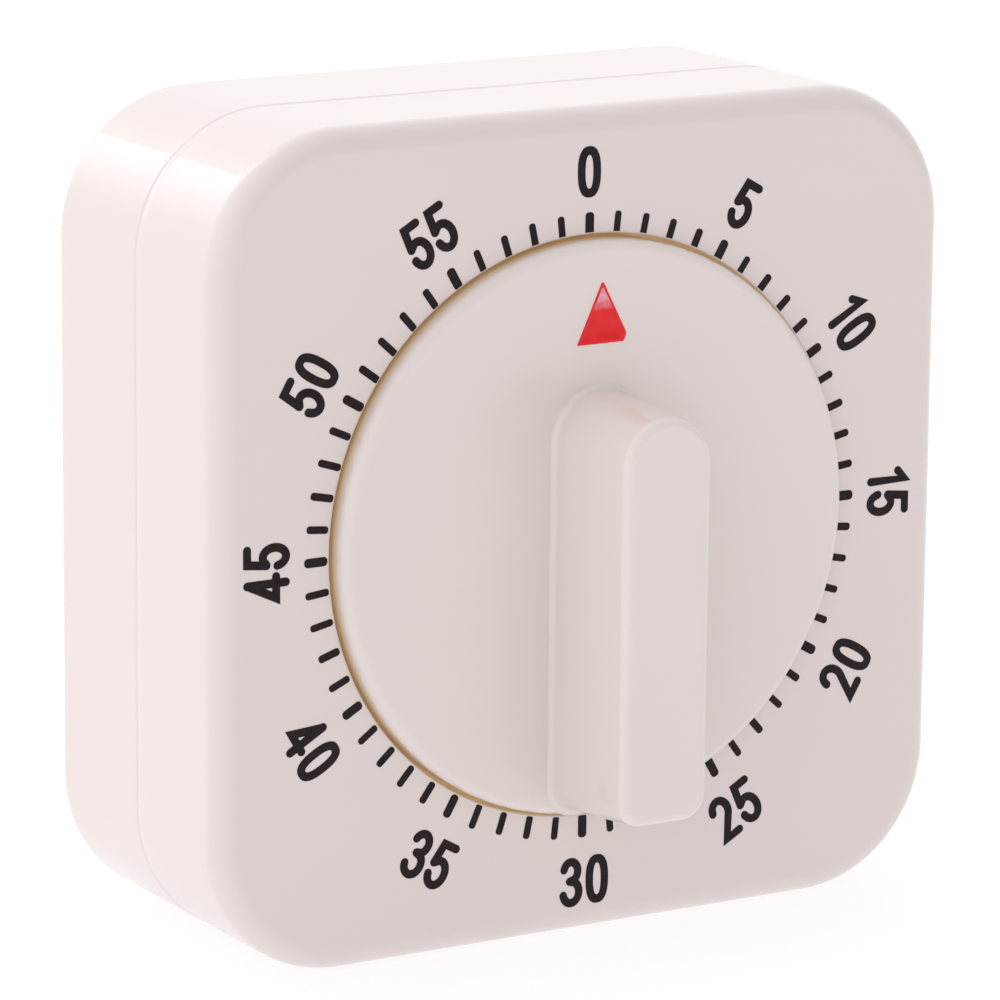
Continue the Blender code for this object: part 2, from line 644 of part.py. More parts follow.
# ---- alarm --------------------------------------------------------------------------------------
def strike_work():
    """Strike wheel, anchor, hammer, and the lever that holds the hammer back."""
    pinion("strike_pinion", MAIN_MODULE, STRIKE_ANGLE, FIRST_PINION_Y, STRIKE)
    flat("strike_wheel", saw_outline(STRIKE_TEETH, STRIKE_R, STRIKE_R - 1.1, 0.0, 0.5), STRIKE_Y,
         "zinc_steel", [circle(WHEEL_BORE_R, 12)], STRIKE)
    arbor("hammer_arbor", "zinc_steel", HAMMER, HAMMER_END_Y)
    towards = degrees_of(1, 1) * atan2(HAMMER[1] - STRIKE[1], HAMMER[0] - STRIKE[0])
    pads = [away(polar(5.4, towards + side * 42, STRIKE), HAMMER) for side in (1, -1)]
    bore = circle(WHEEL_BORE_R, 12)
    anchor = flat("strike_anchor", hull((DIAL, 1.8), (pads[0], 0.4), sides=12), STRIKE_Y,
                  "zinc_steel", [bore], HAMMER)
    other_arm = flat("anchor_arm", hull((DIAL, 1.8), (pads[1], 0.4), sides=12), STRIKE_Y, None,
                     [bore], HAMMER)
    combine(anchor, other_arm, "UNION")
    head_r, shank_r = 1.6, 0.6
    head_at = polar(BELL_R - BELL_WALL - GAP - head_r, 85.0, BELL)
    head = away(head_at, HAMMER)
    flat("hammer_arm", hull((DIAL, 1.9), (head, 1.4), sides=12), HAMMER_ARM_Y, "zinc_steel",
         [bore, circle(shank_r + GAP, 12, head)], HAMMER)
    turned("hammer_head", [(head_r, HAMMER_HEAD_Y[0]), (head_r, HAMMER_HEAD_Y[1]),
                           (shank_r, HAMMER_HEAD_Y[1]), (shank_r, HAMMER_ARM_Y[1])], "brass", 16,
           head_at)
    flat("stop_arm", hull((DIAL, 1.8), ((-1.4, 2.8), 0.7), sides=12), TRIP_Y, "zinc_steel",
         [bore], HAMMER)


def trip_work():
    """Lever whose nose rides on the trip cam and whose tail stops the hammer."""
    nose, tail = away(NOSE, LEVER), (4.1, 2.2)
    bore = circle(STUD_R + GAP, 12)
    lever = flat("trip_lever", hull((DIAL, 1.9), (nose, 0.9), sides=12), TRIP_Y, "zinc_steel",
                 [bore], LEVER)
    tail_arm = flat("lever_tail", hull((DIAL, 1.9), (tail, 0.7), sides=12), TRIP_Y, None,
                    [bore], LEVER)
    combine(lever, tail_arm, "UNION")
    head_y = TRIP_Y[1] + GAP
    turned("trip_stud", [(STUD_R, REAR_PLATE_Y), (STUD_R, head_y), (1.6, head_y),
                         (1.6, head_y + 0.4)], "zinc_steel", 12, LEVER)


def bell():
    """Bell cup on its post, held by a screw."""
    seat = BELL_TOP_Y - BELL_WALL - GAP
    shoulder = REAR_PLATE_Y + PLATE + GAP
    turned("bell_post", [(POST_RIVET_R, REAR_PLATE_Y), (POST_RIVET_R, shoulder),
                         (2.3, shoulder), (2.3, seat), (1.2, seat), (1.2, seat - 3.0)],
           "zinc_steel", 16, BELL)
    outer, inner, crown_r, steps = [], [], 8.0, 5
    for k in range(steps + 1):
        angle = pi / 2 * k / steps
        outer.append((crown_r + (BELL_R - crown_r) * sin(angle),
                      BELL_TOP_Y - 2.2 * (1 - cos(angle))))
        inner.append((crown_r + (BELL_R - BELL_WALL - crown_r) * sin(angle),
                      BELL_TOP_Y - BELL_WALL - 1.8 * (1 - cos(angle))))
    profile = [(1.6, BELL_TOP_Y - BELL_WALL), (1.6, BELL_TOP_Y), *outer, (BELL_R, BELL_RIM_Y),
               (BELL_R - BELL_WALL, BELL_RIM_Y), *reversed(inner)]
    turned("bell_cup", profile, "bell_steel", 36, BELL, bored=True)
    screw("bell_screw", 3.2, BELL_TOP_Y + GAP, 0.9, 0.9, seat - 2.6, BELL)


def main():
    """Empty the scene and build every part."""
    for thing in list(bpy.data.objects):
        bpy.data.objects.remove(thing, do_unlink=True)
    front_case()
    rear_cover()
    for number, corner in enumerate(CORNERS, 1):
        screw(f"case_screw_{number}", 2.6, SCREW_SEAT_Y + GAP, 1.7, 1.25, -1.5, corner)
    dial_knob()
    plates()
    pillars()
    main_arbor()
    mainspring()
    main_power()
    time_train()
    escapement()
    strike_work()
    trip_work()
    bell()


main()
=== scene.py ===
# %% [markdown]
# # A sixty minute kitchen timer
# A wind-up timer is a white moulded box with a clockwork inside and a turning knob in front.
# The movement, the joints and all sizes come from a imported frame, so this lesson only makes
# what the eye sees: two case halves, the knob, the printed dial and the finish of each metal.

# %% Load the frame
import json
from math import atan2, cos, hypot, pi, radians, sin, sqrt

import bmesh
import bpy
from mathutils import Matrix, Vector
from mathutils.geometry import tessellate_polygon


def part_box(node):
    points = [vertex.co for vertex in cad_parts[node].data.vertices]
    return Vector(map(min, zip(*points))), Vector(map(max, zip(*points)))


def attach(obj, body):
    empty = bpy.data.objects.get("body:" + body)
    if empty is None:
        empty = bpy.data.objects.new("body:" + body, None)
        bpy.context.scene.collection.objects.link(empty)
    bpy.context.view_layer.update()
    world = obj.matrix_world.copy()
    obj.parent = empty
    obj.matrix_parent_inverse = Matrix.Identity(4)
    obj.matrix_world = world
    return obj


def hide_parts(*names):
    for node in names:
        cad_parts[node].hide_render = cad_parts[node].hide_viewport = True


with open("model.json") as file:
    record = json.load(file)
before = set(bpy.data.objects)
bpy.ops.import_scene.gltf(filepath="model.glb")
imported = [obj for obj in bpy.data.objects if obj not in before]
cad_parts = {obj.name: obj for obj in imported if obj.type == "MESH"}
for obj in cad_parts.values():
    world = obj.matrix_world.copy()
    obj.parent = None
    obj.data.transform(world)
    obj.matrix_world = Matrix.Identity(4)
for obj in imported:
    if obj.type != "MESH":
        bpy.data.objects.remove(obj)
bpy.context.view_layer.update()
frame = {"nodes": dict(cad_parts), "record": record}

print("frame:", len(frame["nodes"]), "nodes")

# %% [markdown]
# ## Sizes
# Drawings of small moulded parts are in millimetres, so each outline here is drawn in
# millimetres around the axis of the dial and is turned into metres at the very end.
# Every main size is read from the boxes of the frame's parts, so it can't drift away from them.

# %% Sizes read from the frame, in millimetres
MM = 0.001


def box_mm(node):
    """Lowest and highest corner of a part, in millimetres."""
    low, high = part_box(node)
    return low / MM, high / MM


case_low, case_high = box_mm("front_case")
cover_low, cover_high = box_mm("rear_cover")
knob_low, knob_high = box_mm("dial_knob")
mark_low, mark_high = box_mm("pointer_mark")

AXIS_Z = (case_low.z + case_high.z) / 2
HALF = (case_high.x - case_low.x) / 2
FACE_Y = case_low.y
BACK_Y = cover_high.y
SEAM_Y = cover_low.y - 0.3
DISC_R = (knob_high.x - knob_low.x) / 2
DISC_Y = mark_low.y
DISC_REAR_Y = knob_high.y
GRIP_Y = knob_low.y
WELL_R = DISC_R + 0.35
RING_R = HALF * 0.7583
widths = [round(2 * radius, 2) for radius in (HALF, DISC_R, RING_R)]
print("case, disc and ring of marks:", widths, "mm")

# %% [markdown]
# ## Helpers for skins
# Nearly every moulded part is a skin over a run of rings: a ring is one outline at one depth.
# The helpers below draw the outlines, join rings into a closed skin and soften the shading,
# while edges sharper than 35 degrees stay crisp.

# %% Outlines
def polar(radius, degrees, centre=(0.0, 0.0)):
    """Point at an angle from +X towards +Z around a centre."""
    return (centre[0] + radius * cos(radians(degrees)), centre[1] + radius * sin(radians(degrees)))


def circle(radius, sides, centre=(0.0, 0.0)):
    """Points of a circle."""
    return [polar(radius, 360 * k / sides, centre) for k in range(sides)]


def quarter(radius, steps):
    """(inset, rise) pairs over a quarter round, from the side wall to the face."""
    return [(radius * (1 - cos(pi / 2 * k / steps)), radius * sin(pi / 2 * k / steps))
            for k in range(steps + 1)]


# %% Skins
def new_piece(name, points, faces, crisp=35):
    """Closed mesh from millimetre points around the dial axis."""
    mesh = bpy.data.meshes.new(name)
    mesh.from_pydata([(x * MM, y * MM, (AXIS_Z + z) * MM) for x, y, z in points], [], faces)
    shape = bmesh.new()
    shape.from_mesh(mesh)
    bmesh.ops.recalc_face_normals(shape, faces=shape.faces)
    shape.to_mesh(mesh)
    shape.free()
    soften(mesh, crisp)
    piece = bpy.data.objects.new(name, mesh)
    bpy.context.scene.collection.objects.link(piece)
    return piece


def soften(mesh, crisp=35):
    """Smooth shading that keeps edges sharper than `crisp` degrees."""
    mesh.shade_smooth()
    mesh.set_sharp_from_angle(angle=radians(crisp))


def skin(name, rings, closed=False, crisp=35):
    """Skin over rings of (x, y, z) with equal counts: a closed loop, or a run with two caps."""
    size = len(rings[0])
    points = [point for ring in rings for point in ring]
    faces = []
    for number in range(len(rings) - (0 if closed else 1)):
        here = number * size
        there = (number + 1) % len(rings) * size
        for k in range(size):
            after = (k + 1) % size
            faces.append((here + k, here + after, there + after, there + k))
    if not closed:
        faces.append(tuple(range(size)))
        faces.append(tuple(range(len(points) - size, len(points))))
    return new_piece(name, points, faces, crisp)


def at_depth(outline, y):
    """Ring from an (x, z) outline."""
    return [(x, y, z) for x, z in outline]


def run_of(outline_at, stations):
    """Rings of a family of outlines at (size, depth) stations."""
    return [at_depth(outline_at(size), y) for size, y in stations]


def cut_or_join(piece, tool, operation):
    """Boolean of a piece with a tool that is thrown away afterwards."""
    step = piece.modifiers.new("boolean", "BOOLEAN")
    step.operation = operation
    step.solver = "EXACT"
    step.object = tool
    settle(piece)
    bpy.data.objects.remove(tool, do_unlink=True)
    return piece


def settle(piece):
    """Turn a piece and its modifiers into one plain mesh."""
    graph = bpy.context.evaluated_depsgraph_get()
    solid = bpy.data.meshes.new_from_object(piece.evaluated_get(graph))
    piece.modifiers.clear()
    piece.data = solid
    return piece


def true_faces(piece):
    """Shade flat faces flat beside small round edges, by weighting normals with area."""
    soften(piece.data)
    step = piece.modifiers.new("normals", "WEIGHTED_NORMAL")
    step.keep_sharp = True
    step.weight = 90
    return settle(piece)


# %% [markdown]
# ## Finishes
# Moulded plastic is never one flat colour: the melt leaves faint clouds, the polished mould
# leaves a shallow ripple, and handling leaves fine dull patches. Each finish below is a small
# node tree that reads the Object position, so its pattern stays put when a part turns.
# Constants such as gloss go straight onto the shader, and only patterns are wired in.

# %% A small kit for node trees
def new_finish(name):
    """Material with a Principled shader and an object position."""
    material = bpy.data.materials.new(name)
    material.use_nodes = True
    tree = material.node_tree
    shader = tree.nodes["Principled BSDF"]
    place = tree.nodes.new("ShaderNodeTexCoord").outputs["Object"]
    return material, tree, shader, place


def noise(tree, place, scale, detail=3.0, rough=0.5, stretch=None):
    """Noise value over the object position, in waves of 1/scale metres."""
    if stretch:
        mapping = tree.nodes.new("ShaderNodeMapping")
        mapping.inputs["Scale"].default_value = stretch
        tree.links.new(place, mapping.inputs["Vector"])
        place = mapping.outputs["Vector"]
    node = tree.nodes.new("ShaderNodeTexNoise")
    node.inputs["Scale"].default_value = scale
    node.inputs["Detail"].default_value = detail
    node.inputs["Roughness"].default_value = rough
    tree.links.new(place, node.inputs["Vector"])
    return node.outputs["Fac"]


def ramp(tree, value, stops):
    """Colour ramp with (position, colour) stops; a number is a grey."""
    node = tree.nodes.new("ShaderNodeValToRGB")
    band = node.color_ramp
    while len(band.elements) < len(stops):
        band.elements.new(0.5)
    for element, (position, colour) in zip(band.elements, stops):
        element.position = position
        grey = isinstance(colour, (int, float))
        element.color = (colour, colour, colour, 1) if grey else (*colour, 1)
    tree.links.new(value, node.inputs["Fac"])
    return node.outputs["Color"]


def blend_colours(tree, factor, first, second):
    """Mix of two colours, each a socket or a plain colour."""
    node = tree.nodes.new("ShaderNodeMix")
    node.data_type = "RGBA"
    tree.links.new(factor, node.inputs["Factor"])
    for slot, colour in ((6, first), (7, second)):
        if isinstance(colour, tuple):
            node.inputs[slot].default_value = (*colour, 1)
        else:
            tree.links.new(colour, node.inputs[slot])
    return node.outputs[2]


def calculate(tree, operation, first, second=0.0):
    """Math node over sockets or numbers."""
    node = tree.nodes.new("ShaderNodeMath")
    node.operation = operation
    for slot, value in ((0, first), (1, second)):
        if isinstance(value, (int, float)):
            node.inputs[slot].default_value = value
        else:
            tree.links.new(value, node.inputs[slot])
    return node.outputs[0]


def bumps(tree, shader, layers):
    """Stack of bumps, each (height socket, depth in metres)."""
    normal = None
    for height, depth in layers:
        node = tree.nodes.new("ShaderNodeBump")
        node.inputs["Strength"].default_value = 1.0
        node.inputs["Distance"].default_value = depth
        tree.links.new(height, node.inputs["Height"])
        if normal:
            tree.links.new(normal, node.inputs["Normal"])
        normal = node.outputs["Normal"]
    tree.links.new(normal, shader.inputs["Normal"])


# %% [markdown]
# Case and knob come from the same white plastic, in two slightly different batches. Deep in the
# well the knob's rim is painted tan with depth, a painted shade for the warm, dim light of the gap.

# %% White moulded plastic
PAINTED_GAP_SHADE = (0.640, 0.520, 0.370)
PAINTED_SHADE_DEPTH = 0.8


def moulded_plastic(name, light, dark, rough=(0.30, 0.33), gloss=0.5, gloss_rough=0.04,
                    ripple=2.5e-6, painted_shade_from=None):
    """Polished moulded plastic with faint clouds, mould ripple, dull handling patches and, when a
    depth is given, a painted tan shade deeper than it.
    """
    material, tree, shader, place = new_finish(name)
    clouds = noise(tree, place, 55, 4)
    shader.inputs["Specular IOR Level"].default_value = 0.45
    shader.inputs["Coat Weight"].default_value = gloss
    shader.inputs["Coat Roughness"].default_value = gloss_rough
    tint = ramp(tree, clouds, [(0.3, dark), (0.7, light)])
    # Painted shade: behind the given depth the colour turns tan, standing in for the warm shade of
    # the gap around the knob.
    if painted_shade_from:
        axes = tree.nodes.new("ShaderNodeSeparateXYZ")
        tree.links.new(place, axes.inputs["Vector"])
        depth = tree.nodes.new("ShaderNodeMapRange")
        depth.inputs["From Min"].default_value = painted_shade_from * MM
        depth.inputs["From Max"].default_value = (painted_shade_from + PAINTED_SHADE_DEPTH) * MM
        tree.links.new(axes.outputs["Y"], depth.inputs["Value"])
        tint = blend_colours(tree, depth.outputs["Result"], tint, PAINTED_GAP_SHADE)
    tree.links.new(tint, shader.inputs["Base Color"])
    dull = ramp(tree, noise(tree, place, 160, 5, 0.6), [(0.35, rough[0]), (0.75, rough[1])])
    tree.links.new(dull, shader.inputs["Roughness"])
    bumps(tree, shader, [(noise(tree, place, 210, 1), ripple), (noise(tree, place, 5200, 2), 3e-7)])
    return material


CASE_LIGHT = (0.755, 0.667, 0.650)
CASE_DARK = (0.746, 0.657, 0.640)
KNOB_LIGHT = (0.778, 0.692, 0.668)
KNOB_DARK = (0.769, 0.683, 0.659)
case_plastic = moulded_plastic("white_case_plastic", CASE_LIGHT, CASE_DARK)
cover_plastic = moulded_plastic("white_cover_plastic", CASE_LIGHT, CASE_DARK)
# The knob's rim gets the painted tan shade from 0.8 mm behind its face.
knob_plastic = moulded_plastic("white_knob_plastic", KNOB_LIGHT, KNOB_DARK,
                               painted_shade_from=DISC_Y + 0.8)
print("plastics ready: case, cover and knob")

# %% [markdown]
# The wall of the round well around the knob is painted tan, a painted shade for the narrow gap,
# where light reaches only through the plastic and picks up its warm tint. It also glows a little in
# the same tan, a painted light.

# %% Painted tan shade and glow in the well
def well_finish(name):
    """Painted tan shade with a faint painted glow, mottled and dull."""
    material, tree, shader, place = new_finish(name)
    tan_mottle = noise(tree, place, 420, 5, 0.65)
    tint = ramp(tree, tan_mottle, [(0.3, (0.600, 0.430, 0.235)), (0.7, (0.690, 0.520, 0.310))])
    tree.links.new(tint, shader.inputs["Base Color"])
    # Painted light: the wall glows in its own tan, standing in for light that seeps through the
    # plastic.
    tree.links.new(tint, shader.inputs["Emission Color"])
    shader.inputs["Emission Strength"].default_value = 0.32
    tree.links.new(ramp(tree, tan_mottle, [(0.3, 0.5), (0.7, 0.7)]), shader.inputs["Roughness"])
    bumps(tree, shader, [(noise(tree, place, 2600, 3), 3e-6)])
    return material


painted_gap_shade_glow = well_finish("painted_shade_glow_well_plastic")

# %% [markdown]
# ## Front half of the case
# The front half is a shallow tray that faces the user: a rounded square wall, a soft 2 mm
# fillet, the flat face, and a round well for the knob. One closed loop of rings makes all of
# it, inner walls included, so the moulding has a real wall thickness. Ring points lie in the
# same directions on the square and on the circle, which keeps the flat face clean.

# %% Rounded square and circle with matching points
CORNER_R = 12.0
ARC_STEPS = 24
SIDE_STEPS = 22


def square(inset, smallest=1.0):
    """Rounded square that lies `inset` inside the outer wall."""
    half = HALF - inset
    radius = max(CORNER_R - inset, smallest)
    points = []
    for turn in (0, 90, 180, 270):
        corner = polar(sqrt(2) * (half - radius), 45 + turn)
        following = polar(sqrt(2) * (half - radius), 135 + turn)
        points += [polar(radius, turn + 90 * k / ARC_STEPS, corner) for k in range(ARC_STEPS + 1)]
        start = points[-1]
        end = polar(radius, turn + 90, following)
        for k in range(1, SIDE_STEPS):
            part = k / SIDE_STEPS
            points.append((start[0] + (end[0] - start[0]) * part,
                           start[1] + (end[1] - start[1]) * part))
    return points


def round_hole(radius):
    """Circle whose points lie in the directions of the rounded square's points."""
    return [(x * radius / hypot(x, z), z * radius / hypot(x, z)) for x, z in square(0)]


# %% [markdown]
# The two halves meet in a shallow groove that runs all round the side. The groove is a step
# in the front half, and the lip behind it belongs to the rear half and catches the light.

# %% Build the front half
FRONT_FILLET = 2.1
GROOVE_WIDTH = 0.65
GROOVE_DEPTH = 0.06
WELL_EDGE = 0.15
WELL_FLOOR_Y = FACE_Y + 2.6
FLOOR_BACK_Y = WELL_FLOOR_Y + 1.7
WALL = 2.0
HUB_HOLE = 3.2
EASE = 0.08


def front_half():
    """Closed loop of rings from the seam over the face, down the well and back inside."""
    groove_y = SEAM_Y - GROOVE_WIDTH
    outside = [(GROOVE_DEPTH, SEAM_Y), (GROOVE_DEPTH, groove_y + 0.1), (0.04, groove_y + 0.02),
               (0.015, groove_y - 0.06), (0, groove_y - 0.16), (0, groove_y - 0.3),
               (0, FACE_Y + FRONT_FILLET + 0.1)]
    outside += [(inset, FACE_Y + FRONT_FILLET - rise)
                for inset, rise in quarter(FRONT_FILLET, 14)]
    outside.append((FRONT_FILLET + EASE, FACE_Y))
    well = [(WELL_R + WELL_EDGE + EASE, FACE_Y)]
    well += [(WELL_R + inset, FACE_Y + WELL_EDGE - rise)
             for inset, rise in reversed(quarter(WELL_EDGE, 4))]
    well += [(WELL_R, FACE_Y + WELL_EDGE + 0.05), (WELL_R, WELL_FLOOR_Y - 0.2),
             (WELL_R - 0.2, WELL_FLOOR_Y), (HUB_HOLE, WELL_FLOOR_Y), (HUB_HOLE, FLOOR_BACK_Y),
             (WELL_R + WALL, FLOOR_BACK_Y), (WELL_R + WALL, FACE_Y + WALL)]
    inside = [(WALL + 1.5, FACE_Y + WALL), (WALL, FACE_Y + WALL + 1.5), (WALL, SEAM_Y)]
    rings = run_of(square, outside) + run_of(round_hole, well) + run_of(square, inside)
    return skin("case_front_shell", rings, closed=True)


front_shell = front_half()
front_shell.data.materials.append(case_plastic)
front_shell.data.materials.append(painted_gap_shade_glow)
# Faces down the well take the painted tan shade and glow.
for face in front_shell.data.polygons:
    centre = face.center / MM
    inside_well = hypot(centre.x, centre.z - AXIS_Z) < WELL_R + 0.02
    if inside_well and centre.y > FACE_Y + WELL_EDGE * 0.8:
        face.material_index = 1
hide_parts("front_case")
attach(front_shell, "case")
print("front half:", len(front_shell.data.polygons), "faces")

# %% [markdown]
# ## Rear half of the case
# The rear half is a deep tray. Its back has five slots, so that the bell is heard, and four
# deep bores for the case screws. Slots and bores are cut with tools that flare at the mouth,
# as a mould leaves a small radius there and never a knife edge.

# %% Cutting tools with a flared mouth
SCREW_AT = 26.5
SCREW_SEAT_Y = 9.0
COLUMN_R = 4.6
BORE_R = 3.0
SLOT_STEP = 4.4
SLOT_HALF = 0.9
SLOT_FIELD_R = 12.5
bell_low, bell_high = box_mm("bell_cup")
BELL = ((bell_low.x + bell_high.x) / 2, (bell_low.z + bell_high.z) / 2 - AXIS_Z)


def capsule(x, z, half_length, half_width, sides=12):
    """Outline of a slot with round ends that runs along X."""
    right = [polar(half_width, -90 + 180 * k / sides, (x + half_length, z))
             for k in range(sides + 1)]
    left = [polar(half_width, 90 + 180 * k / sides, (x - half_length, z))
            for k in range(sides + 1)]
    return right + left


def flared(name, outline_at, floor_y, flare=0.3, steps=4):
    """Tool whose outline_at(grow) widens by a quarter round where it meets the back face."""
    rings = [at_depth(outline_at(0.0), floor_y)]
    for inset, rise in quarter(flare, steps):
        rings.append(at_depth(outline_at(inset), BACK_Y - flare + rise))
    rings.append(at_depth(outline_at(flare), BACK_Y + 1.0))
    return skin(name, rings)


# %% Build the rear half
BACK_FILLET = 1.0


def rear_half():
    """Deep tray with a small lip at the seam and a closed back, then slots and bores."""
    stations = [(BACK_FILLET + EASE, BACK_Y)]
    stations += [(inset, BACK_Y - BACK_FILLET + rise)
                 for inset, rise in reversed(quarter(BACK_FILLET, 8))]
    stations += [(0, BACK_Y - BACK_FILLET - 0.1), (0, SEAM_Y + 0.36), (0.015, SEAM_Y + 0.22),
                 (0.045, SEAM_Y + 0.1), (0.08, SEAM_Y + 0.02), (0.13, SEAM_Y - 0.02),
                 (0.5, SEAM_Y - 0.02), (WALL, SEAM_Y - 0.02), (WALL, BACK_Y - WALL)]
    shell = skin("case_rear_shell", run_of(square, stations))
    for turn in (45, 135, 225, 315):
        place = polar(SCREW_AT * sqrt(2), turn)
        column = skin("column", [at_depth(circle(COLUMN_R, 48, place), SCREW_SEAT_Y - 2.0),
                                 at_depth(circle(COLUMN_R, 48, place), BACK_Y - 1.0)])
        cut_or_join(shell, column, "UNION")
        bore = flared("bore", lambda grow: circle(BORE_R + grow, 48, place), SCREW_SEAT_Y)
        cut_or_join(shell, bore, "DIFFERENCE")
    for number in range(-2, 3):
        rise = SLOT_STEP * number
        reach = sqrt(SLOT_FIELD_R ** 2 - rise ** 2)
        slot = flared("slot", lambda grow: capsule(BELL[0], BELL[1] + rise, reach,
                                                   SLOT_HALF + grow), BACK_Y - WALL - 1)
        cut_or_join(shell, slot, "DIFFERENCE")
    return true_faces(shell)


rear_shell = rear_half()
rear_shell.data.materials.clear()
rear_shell.data.materials.append(cover_plastic)
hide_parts("rear_cover")
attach(rear_shell, "case")
print("rear half:", len(rear_shell.data.polygons), "faces")

# %% [markdown]
# ## Knob
# Disc and grip are one moulding. The disc is turned, with a 0.9 mm round on its rim. The grip
# is a run of sections: it leaves the disc in a small hollow curve, leans in a little on its
# way forwards, because a mould needs draft, and ends in a flat front with a fine round edge.

# %% Disc
DISC_FILLET = 0.9
DISC_SIDES = 180


def disc():
    """Turned disc with a round front rim and a recess behind."""
    stations = [(DISC_R - DISC_FILLET - EASE, DISC_Y)]
    stations += [(DISC_R - inset, DISC_Y + DISC_FILLET - rise)
                 for inset, rise in reversed(quarter(DISC_FILLET, 10))]
    stations += [(DISC_R, DISC_REAR_Y), (DISC_R - WALL, DISC_REAR_Y),
                 (DISC_R - WALL, DISC_Y + 1.8)]
    return skin("knob_shell", run_of(lambda radius: circle(radius, DISC_SIDES), stations))


# %% Grip
GRIP_TOP = 12.0
GRIP_TOP_FRONT = 11.45
GRIP_HALF = 4.35
GRIP_HALF_FRONT = 4.15
GRIP_BOTTOM = -23.5
GRIP_BOTTOM_FRONT = -22.5
GRIP_CORNER = 2.1
GRIP_EDGE = 0.75
FLARE = 0.6


def grip_outline(half, top, bottom, corner):
    """Round upper end, straight sides and a flat lower end with round corners."""
    outline = [polar(half, 180 * k / 48, (0, top - half)) for k in range(49)]
    for side, turn in ((-1, 180), (1, 270)):
        place = (side * (half - corner), bottom + corner)
        outline += [polar(corner, turn + 90 * k / 12, place) for k in range(13)]
    return outline


def grip_section(y, grow):
    """Outline of the grip at a depth, grown or shrunk by `grow`."""
    part = (DISC_Y - y) / (DISC_Y - GRIP_Y)
    half = GRIP_HALF + (GRIP_HALF_FRONT - GRIP_HALF) * part + grow
    top = GRIP_TOP + (GRIP_TOP_FRONT - GRIP_TOP) * part + grow
    bottom = GRIP_BOTTOM + (GRIP_BOTTOM_FRONT - GRIP_BOTTOM) * part - grow
    return grip_outline(half, top, bottom, max(GRIP_CORNER + grow, 0.4))


def grip():
    """Sections from inside the disc to the front edge."""
    sunk = 0.02
    rings = [at_depth(grip_section(DISC_Y, FLARE), DISC_Y + 1.0)]
    for k in range(7):
        angle = pi / 2 * k / 6
        y = DISC_Y + sunk - FLARE * (1 - cos(angle))
        rings.append(at_depth(grip_section(DISC_Y, FLARE * (1 - sin(angle))), y))
    rings.append(at_depth(grip_section(DISC_Y - FLARE - 0.4, 0), DISC_Y - FLARE - 0.4))
    for setback, rise in quarter(GRIP_EDGE, 6):
        y = GRIP_Y + GRIP_EDGE - rise
        rings.append(at_depth(grip_section(y, -setback), y))
    rings.append(at_depth(grip_section(GRIP_Y, -GRIP_EDGE - 0.04), GRIP_Y))
    return skin("grip", rings)


def knob():
    """Grip kept inside the rim of the disc and joined to it."""
    handle = grip()
    inside_rim = circle(DISC_R - 0.03, DISC_SIDES)
    rim = skin("rim", [at_depth(inside_rim, DISC_Y + 2.0), at_depth(inside_rim, GRIP_Y - 1.0)])
    cut_or_join(handle, rim, "INTERSECT")
    piece = cut_or_join(disc(), handle, "UNION")
    return true_faces(piece)


knob_shell = knob()
knob_shell.data.materials.clear()
knob_shell.data.materials.append(knob_plastic)
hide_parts("dial_knob")
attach(knob_shell, "dial")
print("knob:", len(knob_shell.data.polygons), "faces")

# %% [markdown]
# ## Pointer
# The pointer is a small triangle of glossy red. It has a raised border and a slightly hollow
# middle, so it catches the light near its tip, and one lower corner is a little blunt.
# The middle carries a patchy, light pink painted highlight near the tip. The border is the same red
# without that.

# %% Red finish
HIGHLIGHT_FROM = 18.5
HIGHLIGHT_TO = 19.3
PAINTED_HIGHLIGHT_PINK = (0.790, 0.420, 0.520)


def red_gloss(name, highlight_weight=1.0):
    """Glossy red with a patchy, light pink painted highlight near the tip; the second argument sets
    how much.
    """
    material, tree, shader, place = new_finish(name)
    axes = tree.nodes.new("ShaderNodeSeparateXYZ")
    tree.links.new(place, axes.inputs["Vector"])
    # Painted highlight: towards the tip the red turns light pink in patches.
    height = tree.nodes.new("ShaderNodeMapRange")
    height.inputs["From Min"].default_value = (AXIS_Z + HIGHLIGHT_FROM) * MM
    height.inputs["From Max"].default_value = (AXIS_Z + HIGHLIGHT_TO) * MM
    tree.links.new(axes.outputs["Z"], height.inputs["Value"])
    cloud = noise(tree, place, 900, 3)
    red = ramp(tree, cloud, [(0.3, (0.730, 0.011, 0.015)), (0.7, (0.830, 0.019, 0.025))])
    patchy_highlight = calculate(tree, "MULTIPLY", height.outputs["Result"],
                       ramp(tree, noise(tree, place, 1800, 3), [(0.35, 0.45), (0.65, 1.0)]))
    highlight_share = calculate(tree, "MULTIPLY", patchy_highlight, highlight_weight)
    tint = blend_colours(tree, highlight_share, red, PAINTED_HIGHLIGHT_PINK)
    tree.links.new(tint, shader.inputs["Base Color"])
    tree.links.new(ramp(tree, cloud, [(0.2, 0.18), (0.8, 0.32)]), shader.inputs["Roughness"])
    shader.inputs["Specular IOR Level"].default_value = 0.18
    shader.inputs["Coat Weight"].default_value = 0.15
    shader.inputs["Coat Roughness"].default_value = 0.06
    bumps(tree, shader, [(noise(tree, place, 1400, 3), 8e-6)])
    return material


